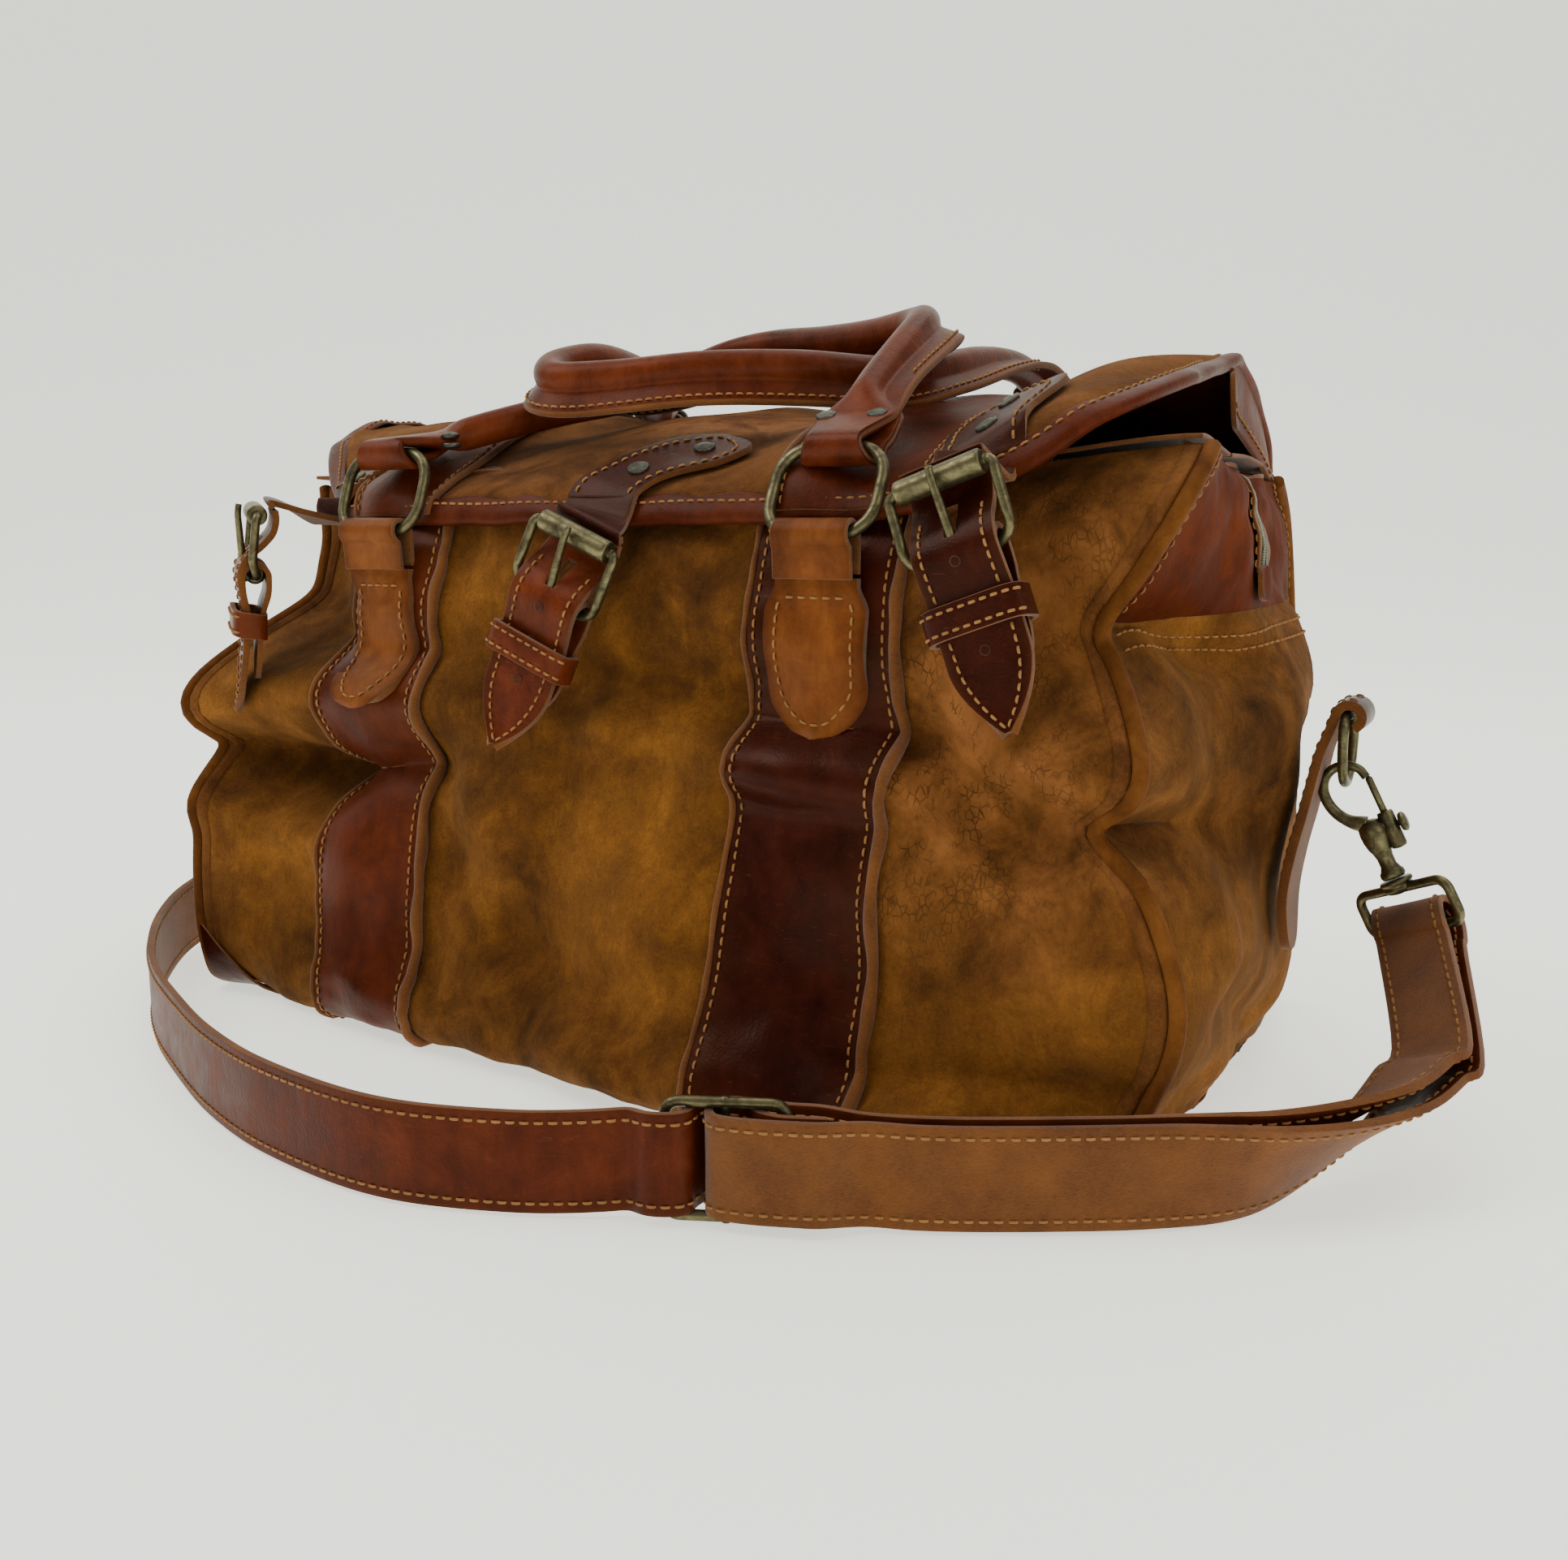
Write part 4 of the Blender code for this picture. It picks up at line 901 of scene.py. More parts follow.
def build_end(word, side):
    def lower(u, v):
        tuck = -0.0022 if v > 0.985 else 0.0
        return end_wall(side, side * (2 * u - 1) * END_REACH, END_SEAM * v, SUEDE + LEATHER + tuck)

    piece = grid(f"end_suede_{word}", lower, evenly(80), evenly(70), 0.0020, [SUEDE_SKIN, EDGE_SKIN, LINING],
                 suede_wear_and_shade)
    placed_on(piece, "bag", "suede", f"gusset_{word}")
    for row, height in enumerate((0.960, 0.930)):
        path = ((0.03, height), (0.97, height))
        stitches(f"end_stitch_{row}_{word}", [run_on(lower, path)], "bag", PALE_THREAD, slot="suede")

    def upper(u, v):
        low = END_SEAM - 0.02
        return end_wall(side, side * (2 * u - 1) * END_REACH, low + (1.0 - low) * v, SUEDE - 0.0002)

    piece = grid(f"end_leather_{word}", upper, evenly(70), evenly(34), 0.0018, [END_SKIN, EDGE_SKIN, LINING],
                 edge_wear(0.5, 0.3))
    placed_on(piece, "bag", "leather", f"gusset_top_{word}")
    for row, across in enumerate((0.045, 0.955)):
        stitches(f"end_leather_stitch_{row}_{word}", [run_on(upper, ((across, 0.1), (across, 0.97)))], "bag")

    # the end's leather turns in under the ends of the two facings
    def turned_in(u, v):
        across = side * (2 * u - 1)
        edge = end_wall(side, across * END_REACH, 0.992, SUEDE - 0.0004)
        return edge.lerp(slump((side * (PANEL_EDGE - 0.008), across * 0.086, 0.2684)), v)

    placed_on(grid(f"end_turn_in_{word}", turned_in, evenly(70), evenly(6), 0.0012, [END_SKIN, EDGE_SKIN]), "bag",
              "leather")

    # the zip's end runs down over the leather, with a small tab sewn over it
    def tape(u, v):
        return end_wall(side, side * (2 * u - 1) * ZIP_TAPE, 0.990 - 0.235 * v, SUEDE + 0.0012)

    piece = grid(f"zip_end_{word}", tape, evenly(8), evenly(40), 0.0010, [DARK_EDGE, EDGE_SKIN], edge_wear(0.8, 0.1),
                 round_edge=0.0)
    placed_on(piece, "bag", "leather")
    for row, off in enumerate((0.40, 0.60)):
        places = []
        for n in range(46):
            v = 0.01 + 0.96 * n / 45
            ahead = tape(off, v + 0.01) - tape(off, v - 0.01)
            places.append((tape(off, v) + Vector((side * 0.0004, 0, 0)), ahead))
        zip_teeth(f"zip_end_teeth_{row}_{word}", places, 0, Vector((side, 0, 0)))
    for row, u in enumerate((0.02, 0.98)):
        stitches(f"zip_end_stitch_{row}_{word}", [run_on(tape, ((u, 0.02), (u, 0.98)))], "bag", PALE_THREAD)

    def stop(u, v):
        half = 0.105 * math.sqrt(max(1 - max(abs(2 * v - 1) - 0.45, 0) ** 2 / 0.31, 0.05))
        return end_wall(side, side * (2 * u - 1) * half, 0.764 - 0.056 * v, SUEDE + 0.0040)

    piece = grid(f"zip_stop_{word}", stop, list(reversed(evenly(12))), evenly(12), 0.0020, [END_SKIN, EDGE_SKIN],
                 edge_wear(0.7, 0.2))
    placed_on(piece, "bag", "leather")

    # piping along both corner seams
    for y_word, y_side in (("front", -1), ("back", 1)):
        path = seam_path(side, y_side, PIPE_OUT)
        pipe = wire(f"piping_{y_word}_{word}_cord", resampled(path, 130), PIPE_RADIUS, [PIPE_SKIN], sides=12)
        nodes = [f"piping_front_{word}"] if y_word == "front" else []
        placed_on(pipe, "bag", "leather", *nodes)

        # the welt's flat edge, sewn down beside the cord on the front or back
        def welt(u, v, side=side, y_side=y_side):
            x = side * (PANEL_EDGE - 0.0004 - 0.0068 * u)
            share = 0.03 + 0.95 * v
            swell = 0.0008 * math.sin(math.pi * min(u * 1.2, 1.0))
            return wall(y_side, x, share, SUEDE + 0.0004 + swell)

        us = list(reversed(evenly(5))) if side * y_side < 0 else evenly(5)
        welt_piece = grid(f"welt_{y_word}_{word}", welt, us, evenly(90), 0.0008, [WORN_SUEDE, EDGE_SKIN], suede_wear_and_shade,
                          round_edge=0.0)
        placed_on(welt_piece, "bag", "suede")


def build_base():
    def floor(u, v):
        x = (1 - 2 * u) * (HALF_LENGTH - 0.004)
        y = (2 * v - 1) * 0.108
        return Vector((x, y, 0.0))

    piece = grid("base_leather", floor, evenly(60), evenly(30), 0.003, [DARK_SKIN, EDGE_SKIN, LINING],
                 edge_wear(0.3, 0.5))
    placed_on(piece, "bag", "suede", "base_panel")
    # a soft strip of suede closes the shell under each long side
    for word, side in (("front", -1), ("back", 1)):

        def hem(u, v, side=side):
            x = side * (1 - 2 * u) * PANEL_EDGE
            edge = wall(side, x, 0.0, SUEDE)
            inner = Vector((x * 0.99, side * 0.104, 0.0012))
            return edge.lerp(inner, v)

        placed_on(grid(f"base_hem_{word}", hem, list(reversed(evenly(100))), evenly(4), 0.0012,
                       [SUEDE_SKIN, EDGE_SKIN], suede_wear_and_shade, round_edge=0.0), "bag", "suede")

    # dark corner patches wrap each lower corner from the end round to the front and the back
    for x_word, side in (("left", -1), ("right", 1)):
        for y_word, y_side in (("front", -1), ("back", 1)):
            corner_patch(f"corner_patch_{y_word}_{x_word}", side, y_side)


def corner_patch(name, side, y_side):
    """A rounded leather patch over one lower corner, part on the end and part on the side."""
    width = 0.050 if side > 0 else 0.046
    height = 0.27 if side < 0 else 0.24

    def on_side(u, v):
        reach = (1 - v) ** 0.8 * width + 0.001
        x = side * (PANEL_EDGE + 0.0020 - reach * u)
        return wall(y_side, x, 0.01 + height * v, SUEDE + 0.0026)

    def on_end(u, v):
        reach = (1 - v) ** 0.8 * PATCH_REACH + 0.01
        across = y_side * (0.985 - reach * u)
        return end_wall(side, across, 0.01 + height * v, SUEDE + 0.0040)

    orders = [evenly(24), list(reversed(evenly(24)))]
    if side * y_side < 0:
        orders.reverse()
    for part, surface, order in (("side", on_side, orders[0]), ("end", on_end, orders[1])):
        placed_on(grid(f"{name}_{part}", surface, order, evenly(22), 0.0012, [DARK_SKIN, EDGE_SKIN],
                       edge_wear(0.2, 0.5)), "bag", "dark_leather")


# the bands over the front and back, and over the flap

def build_bands():
    for word, side in (("front", -1), ("back", 1)):
        for hand, middle in (("left", -BAND_X), ("right", BAND_X)):

            def band(u, v, side=side, middle=middle):
                x = middle - side * (2 * u - 1) * BAND_WIDTH / 2
                x += 0.0012 * noise.noise(Vector((middle * 9, v * 4, u * 2)))
                lift = 0.0006 * math.sin(math.pi * u)
                return wall(side, x, 0.006 + (0.93 - 0.006) * v, SUEDE + LEATHER + 0.0004 + lift)

            burnished = (word, hand) == ("front", "right")
            skins = [DARK_SKIN if burnished else LEATHER_SKIN, EDGE_SKIN]
            us = marked(BAND_WIDTH, (0.0045, BAND_WIDTH - 0.0055), 0.004)
            piece = grid(f"band_{word}_{hand}_leather", band, us, evenly(110), 0.0022, skins, band_wear(burnished))
            placed_on(piece, "bag", "dark_leather" if burnished else "leather", f"band_{word}_{hand}")
            runs = [run_on(band, ((u, 0.01), (u, 0.985)), count=220)
                    for u in (0.0045 / BAND_WIDTH, 1 - 0.0055 / BAND_WIDTH)]
            stitches(f"band_{word}_{hand}_stitch", runs, "bag", PALE_THREAD)
            # the turned edge of suede that stands up along the band's outer side
            for edge, u in (("outer", 1.0), ("inner", 0.0)):
                path = [band(u, n / 120) for n in range(121)]
                wave = [p + Vector((0, side * 0.0004 * math.sin(n * 0.9), 0)) for n, p in enumerate(path)]
                size = 0.0026 if edge == "outer" else 0.0013
                roll = swept(f"band_{word}_{hand}_edge_{edge}",
                             frames_along(resampled(wave, 130), radii=lambda s: 1 + 0.12 * math.sin(s * 55)),
                             circle(10, size), [EDGE_SKIN])
                placed_on(roll, "bag", "suede")
            build_ring_tab(word, hand, side, middle)


def band_wear(burnished):
    def wear(u, v, corner):
        edge = abs(2 * u - 1) ** 5
        patch = 0.5 + 0.5 * noise.noise(Vector(corner) * 18)
        low = ease((0.55 - v) / 0.3) if burnished else 0.2
        return (min(1.0, 0.30 * edge + 0.45 * patch ** 2 + 0.2 * low), 0.30 * edge * patch + 0.18 * patch ** 5, 0.0)

    return wear


def build_ring_tab(word, hand, side, middle):
    """The stitched tab on the band, and the loop at its top that holds the ring."""
    line = ring_line(word)

    def tab(u, v):
        # v runs from the rounded lower end up to the loop
        height = 0.1600 + 0.0640 * v
        rounding = max(0.0, (0.1830 - height) / 0.0232)
        half = 0.0230 * math.sqrt(max(1 - rounding ** 2, 0.0006))
        half += (0.0185 - half) * ease((height - 0.2100) / 0.0120)
        across = -side * (2 * u - 1) * half
        out = 0.0096 + 0.0007 * math.sin(math.pi * u) + 0.0030 * ease((height - 0.209) / 0.014)
        laid = standing(side, middle + across, out, height)
        level = standing(side, middle, out, height) + line * across
        return laid.lerp(level, ease((height - 0.209) / 0.014))

    skin = TAN_SKIN if word == "front" else LEATHER_SKIN
    us = marked(0.046, (0.0050, 0.041), 0.004)
    piece = grid(f"ring_tab_{word}_{hand}_leather", tab, us, evenly(46), 0.0042, [skin, EDGE_SKIN],
                 edge_wear(0.8, 0.15))
    placed_on(piece, "bag", "leather", f"ring_tab_{word}_{hand}")
    path = mirrored([(0.13, 0.86), (0.12, 0.62), (0.12, 0.44), (0.17, 0.25), (0.30, 0.115), (0.50, 0.085)])
    rows = [run_on(tab, path), run_on(tab, ((0.16, 0.88), (0.84, 0.88)), count=30)]
    stitches(f"ring_tab_{word}_{hand}_stitch", rows, "bag", PALE_THREAD)

    # the loop: from the tab's top, round the ring's wire and down behind
    def loop(u, v):
        turn = math.radians(-62 + 262 * v)
        away = RING_PIVOT_OUT + LOOP_RADIUS * math.cos(turn)
        height = RING_PIVOT_Z + LOOP_RADIUS * math.sin(turn)
        if v <= 0.0:
            away, height = RING_PIVOT_OUT + 0.0030, 0.2235
        if v >= 1.0:
            away, height = 0.0072, 0.2255
        across = -side * (2 * u - 1) * (0.0178 - 0.0010 * math.sin(math.pi * v))
        return standing(side, middle, away, height) + line * across

    vs = [0.0] + [0.03 + 0.94 * n / 24 for n in range(25)] + [1.0]
    wrap = grid(f"ring_tab_{word}_{hand}_loop", loop, evenly(10), vs, 0.0022, [skin, EDGE_SKIN], edge_wear(0.8, 0.3))
    placed_on(wrap, "bag", "leather")


def ring_line(word):
    """The direction through both of a handle's rings, left to right."""
    left, right = [cad_pivot(word, hand) for hand in ("left", "right")]
    flat = right - left
    flat.z = 0.0
    return flat.normalized()


def ring_up(word, hand):
    lean = RING_LEAN[word, hand]
    return Vector((0.0, math.sin(lean), math.cos(lean)))


def cad_pivot(word, hand):
    low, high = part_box(f"ring_{word}_{hand}")
    return (Vector(low) + Vector(high)) / 2 - ring_up(word, hand) * RING_HALF_HEIGHT


def ring_top(word, hand):
    return cad_pivot(word, hand) + ring_up(word, hand) * 2 * RING_HALF_HEIGHT


def build_rings():
    for word in ("front", "back"):
        line = ring_line(word)
        for hand in ("left", "right"):
            up = ring_up(word, hand)
            middle = (cad_pivot(word, hand) + ring_top(word, hand)) / 2
            outline = rounded_frame(RING_HALF_WIDTH, RING_HALF_HEIGHT, -RING_HALF_HEIGHT, RING_BEND, 8)
            knots = [middle + line * x + up * y for x, y in outline]
            ring = closed_wire(f"ring_{word}_{hand}_wire", knots, 80, 0.0025)
            placed_on(ring, f"{word}_rings", "aged_brass", f"ring_{word}_{hand}")


# the flap

def build_flap():
    def cover(u, v):
        x = (2 * u - 1) * FLAP_HALF
        return flap_point(x, 1 - v, SUEDE + flap_folds(x, 1 - v))

    vs = evenly(70)
    piece = grid("flap_suede", cover, evenly(150), vs, 0.0022, [WORN_SUEDE, EDGE_SKIN, LEATHER_SKIN], suede_wear_and_shade)
    placed_on(piece, "flap", "suede", "flap")

    seam = [flap_point((n / 40 - 1) * (FLAP_HALF - 0.004), 0.004, SUEDE * 0.5) for n in range(81)]
    placed_on(wire("flap_seam_roll", resampled(seam, 160), 0.0036, [LEATHER_SKIN], sides=10), "flap", "leather")

    # leather bound round the front and both ends
    rim = binding_rim()

    def binding(u, v):
        place, inward, normal = rim_at(rim, u)
        across = [(0.0108, 0.0018), (0.0100, 0.0028), (0.0065, 0.0033), (0.0020, 0.0034), (-0.0012, 0.0024),
                  (-0.0020, 0.0004), (-0.0012, -0.0020), (0.0020, -0.0030), (0.0080, -0.0032)]
        inside, out = through(across, 1 - v)
        return place + inward * (inside + 0.0010 * math.sin(u * 140) * v) + normal * out

    piece = grid("flap_binding_leather", binding, evenly(260), evenly(16), 0.0010, [LEATHER_SKIN, EDGE_SKIN],
                 edge_wear(0.4, 0.5, across=False))
    placed_on(piece, "flap", "leather", "flap_binding")
    run = []
    for n in range(400):
        place, inward, normal = rim_at(rim, n / 399)
        run.append((place + inward * 0.0072 + normal * 0.0034, normal))
    stitches("flap_binding_stitch", [run], "flap", PALE_THREAD)

    # the bands carry on over the flap
    for hand, middle in (("left", -BAND_X - 0.006), ("right", BAND_X + 0.008)):

        def band(u, v, middle=middle):
            x = middle + (2 * u - 1) * 0.0335
            share = 0.965 - 0.955 * v
            return flap_point(x, share, SUEDE + 0.0022 + flap_folds(x, share) + 0.0005 * math.sin(math.pi * u))

        us = marked(0.067, (0.0045, 0.0625), 0.005)
        piece = grid(f"flap_band_{hand}", band, us, evenly(60), 0.0020, [LEATHER_SKIN, EDGE_SKIN], band_wear(False))
        placed_on(piece, "flap", "leather")
        runs = [run_on(band, ((u, 0.02), (u, 0.98)), count=160) for u in (0.067, 0.933)]
        stitches(f"flap_band_{hand}_stitch", runs, "flap", PALE_THREAD)
        for edge, u in (("a", 1.0), ("b", 0.0)):
            path = resampled([band(u, n / 80) for n in range(81)], 90)
            roll = wire(f"flap_band_{hand}_edge_{edge}", path, 0.0017, [EDGE_SKIN], sides=8)
            placed_on(roll, "flap", "suede")

    # the right end turns down in a lip that shows its lining
    def lip(u, v):
        share = 0.05 + 0.62 * u
        top = flap_point(FLAP_HALF - 0.001, share, SUEDE - 0.002)
        inner = flap_point(FLAP_HALF - 0.012, share, 0.0)
        drop = Vector((0.002 + 0.003 * math.sin(6 * u), -0.004 * v, -0.026 * ease(min(u, 1 - u) / 0.22) - 0.003))
        return top + (top - inner) * 0.15 * v + drop * v

    piece = grid("flap_lip_right", lip, evenly(60), evenly(14), 0.0022, [LEATHER_SKIN, EDGE_SKIN, LEATHER_SKIN],
                 edge_wear(0.5, 0.5, across=False))
    placed_on(piece, "flap", "leather")
    stitches("flap_lip_stitch", [run_on(lip, ((0.14, 0.80), (0.86, 0.80)))], "flap", PALE_THREAD)

    for word in CLOSURES:
        build_flap_tab(word)


def flap_folds(x, share):
    """The flap's own ripples: pulled between its straps, and rolled up at the right corner."""
    wave = 0.0022 * math.sin(x * 58 + share * 3.0) * ease(share / 0.5) * ease((1.02 - share) / 0.2)
    wave += 0.0030 * math.exp(-((x - 0.205) / 0.022) ** 2) * ease(share / 0.6)
    wave -= 0.0040 * math.exp(-((x + 0.075 + 0.08 * (share - 0.5)) / 0.016) ** 2) * ease(share / 0.6)
    wave += 0.0035 * math.exp(-((x - 0.085 - 0.05 * (share - 0.5)) / 0.018) ** 2) * ease(share / 0.6)
    return wave


def binding_rim():
    """Points round the flap's free edge, from its back left corner to its back right one."""
    rim = []
    half = FLAP_HALF - 0.001
    for n in range(50):
        rim.append((-half, 0.04 + 0.94 * n / 50))
    for n in range(161):
        rim.append((-half + 2 * half * n / 160, 0.985))
    for n in range(50):
        rim.append((half, 0.98 - 0.94 * (n + 1) / 50))
    out = []
    for x, share in rim:
        place = flap_point(x, share, SUEDE * 0.5 + flap_folds(x, share))
        normal = (flap_point(x, share, 0.004) - flap_point(x, share, 0.0)).normalized()
        out.append((place, normal))
    points = [p for p, _ in out]
    final = []
    for n, (place, normal) in enumerate(out):
        along = points[min(n + 2, len(points) - 1)] - points[max(n - 2, 0)]
        inward = normal.cross(along.normalized()).normalized()
        final.append((place, inward, normal))
    # even out the turn at the corners
    smooth = []
    for n, (place, inward, normal) in enumerate(final):
        around = final[max(n - 5, 0):n + 6]
        smooth.append((place, sum((w[1] for w in around), Vector()).normalized(),
                       sum((w[2] for w in around), Vector()).normalized()))
    return smooth


def rim_at(rim, share):
    place = min(max(share, 0.0), 1.0) * (len(rim) - 1)
    n = min(int(place), len(rim) - 2)
    return tuple(a.lerp(b, place - n) for a, b in zip(rim[n], rim[n + 1]))


def build_flap_tab(word):
    """The rounded end of a closure strap, riveted and sewn to the flap."""
    roller, _, tilt, _, start = CLOSURES[word]
    end = roller[0] + 0.012 * math.sin(tilt)

    def tab(u, v):
        back_off = ease(v / 0.92)
        x = end + (start - end) * back_off
        wide = 1.0 + 0.28 * ease((v - 0.25) / 0.4)
        half = STRAP_WIDTH / 2 * wide * math.sqrt(max(1 - (max(v - 0.72, 0) / 0.285) ** 2, 0.0008))
        x += (2 * u - 1) * half
        share = 0.915 - 0.285 * v
        out = SUEDE + 0.0046 + flap_folds(x, share) * ease(v / 0.2) + 0.0005 * math.sin(math.pi * u)
        return flap_point(x, share, out)

    us = marked(0.040, (0.0042, 0.0358), 0.004)
    piece = grid(f"flap_tab_{word}_leather", tab, us, evenly(46), 0.0026, [PLUM_SKIN, EDGE_SKIN], edge_wear(0.7, 0.2))
    placed_on(piece, "flap", "leather", f"flap_tab_{word}")
    path = mirrored([(0.11, 0.03), (0.11, 0.35), (0.11, 0.60), (0.15, 0.80), (0.30, 0.915), (0.50, 0.945)])
    stitches(f"flap_tab_{word}_stitch", [run_on(tab, path)], "flap", PALE_THREAD)
    for n, (u, v) in enumerate(((0.50, 0.78), (0.50, 0.36))):
        normal = facing(tab, u, v, 0.01)
        rivet(f"flap_rivet_{word}_{n}", tab(u, v) + normal * 0.0002, normal, "flap")
        rivet(f"flap_rivet_under_{word}_{n}", tab(u, v) - normal * 0.0062, -normal, "flap", 0.0040)


# the closures

FRAME_WIRE = 0.0021

def closure_matrix(word):
    """From a closure's own axes (X across, -Y out, -Z down) to the bag's."""
    roller, yaw, tilt, lean, _ = CLOSURES[word]
    return (Matrix.Translation(roller) @ Matrix.Rotation(yaw, 4, "Z")
            @ Matrix.Rotation(-tilt, 4, "Y") @ Matrix.Rotation(-lean, 4, "X"))


def build_closure(word):
    placed = closure_matrix(word)
    run = [(-0.0068, -0.0022), (-0.0073, 0.0010), (-0.0070, 0.0045), (-0.0056, 0.0085),
           (-0.0010, 0.0140), (0.0050, 0.0195), (0.0084, 0.0255), (0.0090, 0.0310),
           (0.0078, 0.0390), (0.0064, 0.0480), (0.0062, 0.0600), (0.0066, 0.0750),
           (0.0070, 0.0880), (0.0084, TIP_DROP)]

    def strap(u, v):
        out, drop = through(run, v)
        point = max(0.0, (drop - 0.068) / (TIP_DROP - 0.068))
        half = STRAP_WIDTH / 2 * (1 - 0.93 * point ** 1.9)
        curl = 0.0016 * point * (2 * u - 1) ** 2
        return placed @ Vector(((1 - 2 * u) * half, -out - curl - 0.0004 * math.sin(math.pi * u), -drop))

    us = marked(STRAP_WIDTH, (0.0040, 0.0300), 0.0017)
    skin = DARK_SKIN if word == "right" else HANDLE_SKIN
    piece = grid(f"closure_{word}_strap", strap, us, evenly(90), 0.0030, [skin, EDGE_SKIN], edge_wear(0.6, 0.3),
                 gaps=[(0.44, 0.56, 0.27, 0.42)])
    placed_on(piece, f"closure_{word}", "leather", f"closure_strap_{word}")
    left = [(0.12, 0.30), (0.12, 0.60), (0.13, 0.78), (0.20, 0.93), (0.42, 0.985)]
    right = [(1 - u, v) for u, v in left]
    stitches(f"closure_{word}_strap_stitch", [run_on(strap, left), run_on(strap, right)], f"closure_{word}",
             PALE_THREAD, pitch=0.0044, length=0.0032)
    for n, v in enumerate((0.55, 0.69, 0.80)):
        place = strap(0.5, v)
        normal = facing(strap, 0.5, v, 0.01)
        if normal.y > 0:
            normal = -normal
        turn = Vector((0, 0, 1)).rotation_difference(normal).to_matrix().to_4x4()
        profile = [(0.0021, -0.0006), (0.0022, 0.0002), (0.0018, 0.0003), (0.0013, -0.0003)]
        hole = lathe(f"closure_{word}_hole_{n}", profile, Matrix.Translation(place) @ turn, [DARK_EDGE], 14)
        placed_on(hole, f"closure_{word}", "leather")

    # the tab behind, folded round the buckle's bar
    def tab(u, v):
        path = [(-0.0004, TAB_DROP + 0.002), (-0.0006, 0.070), (-0.0010, 0.058), (-0.0024, 0.046), (-0.0046, 0.038)]
        for n in range(9):
            turn = math.pi * (1.0 - n / 8)
            path.append((0.0048 * math.cos(turn), BAR_DROP - 0.0048 * math.sin(turn)))
        path += [(0.0044, 0.037), (0.0030, 0.044), (0.0018, 0.050)]
        out, drop = through(path, v)
        rounding = max(0.0, (drop - 0.060) / (TAB_DROP + 0.002 - 0.060))
        half = (STRAP_WIDTH / 2 - 0.0005) * math.sqrt(max(1 - rounding ** 2, 0.001))
        return placed @ Vector(((2 * u - 1) * half, -out - 0.0004, -drop))

    us = marked(STRAP_WIDTH, (0.004, 0.030), 0.0022)
    piece = grid(f"closure_{word}_tab", tab, us, evenly(80), 0.0026, [skin, EDGE_SKIN], edge_wear(0.6, 0.3),
                 gaps=[(0.40, 0.60, 0.34, 0.82)])
    placed_on(piece, f"closure_{word}", "leather", f"buckle_tab_{word}")

    # the keeper round both
    def keeper(u, v):
        turn = -2 * math.pi * u
        wide, deep = STRAP_WIDTH / 2 + 0.0040, 0.0085
        x = wide * math.copysign(abs(math.cos(turn)) ** 0.35, math.cos(turn))
        y = deep * math.copysign(abs(math.sin(turn)) ** 0.6, math.sin(turn)) + 0.0030
        return placed @ Vector((x, -y, -0.0470 - 0.0125 * (1 - v) + 0.0012 * math.sin(turn)))

    ring = [n / 60 for n in range(60)]
    piece = grid(f"closure_{word}_keeper", keeper, ring, marked(0.0125, (0.0025, 0.010), 0.002), 0.0024,
                 [skin, EDGE_SKIN], edge_wear(0.4, 0.4), closed=True)
    placed_on(piece, f"closure_{word}", "leather")
    rows = [run_on(keeper, ((0.56, v), (0.94, v)), count=60) for v in (0.20, 0.80)]
    stitches(f"closure_{word}_keeper_stitch", rows, f"closure_{word}", PALE_THREAD, pitch=0.0042, length=0.0030)

    build_buckle(word, placed)


def build_buckle(word, placed):
    """A wire frame with a straight top bar inside the roller and rounded lower corners."""
    half, top, low, small, large = 0.0218, 0.0, -BAR_DROP, 0.003, 0.0085
    knots = [(-half + 0.002, top), (half - 0.002, top)]
    corners = ((half - small, top - small, small, 90, 6), (half - large, low + large, large, 0, 8),
               (large - half, low + large, large, -90, 8), (small - half, top - small, small, 180, 6))
    for x, z, bend, start, steps in corners:
        for n in range(steps + 1):
            turn = math.radians(start - 90 * n / steps)
            knots.append((x + bend * math.cos(turn), z + bend * math.sin(turn)))
    # the sides stand forward in the middle, as a pressed frame's do
    points = []
    for x, z in knots:
        bow = 0.0028 * math.sin(math.pi * min(max(-z / BAR_DROP, 0.0), 1.0))
        points.append(placed @ Vector((x, -bow, z)))
    points.append(points[0])
    placed_on(closed_wire(f"buckle_{word}_frame", points, 140, FRAME_WIRE), f"closure_{word}", "aged_brass",
              f"buckle_frame_{word}")
    across = placed @ Matrix.Rotation(math.radians(90), 4, "Y")
    roller = lathe(f"buckle_{word}_roller",
                   [(0.0030, -0.0178), (0.0043, -0.0180), (0.0048, -0.0174), (0.0049, -0.0160), (0.0049, 0.0160),
                    (0.0048, 0.0174), (0.0043, 0.0180), (0.0030, 0.0178)], across, [BRASS])
    placed_on(roller, f"roller_{word}", "aged_brass", f"buckle_roller_{word}")
    bend = [(0.0030, -0.0330), (0.0050, -0.0290), (0.0056, -0.0240), (0.0066, -0.0160), (0.0074, -0.0080),
            (0.0080, -0.0010), (0.0076, 0.0040)]
    path = smooth_path([placed @ Vector((0.0, -out, rise)) for out, rise in bend], 40)
    prong = wire(f"buckle_{word}_prong", path, 0.0019, [BRASS], radii=lambda s: 1.05 - 0.25 * s)
    placed_on(prong, f"prong_{word}", "aged_brass", f"buckle_prong_{word}")
    eye = [placed @ Vector((0.0, -a, b - BAR_DROP)) for a, b in circle(20, 0.0035)]
    placed_on(wire(f"buckle_{word}_prong_eye", eye, 0.0015, [BRASS], closed=True, sides=10), f"prong_{word}",
              "aged_brass")


# the handles

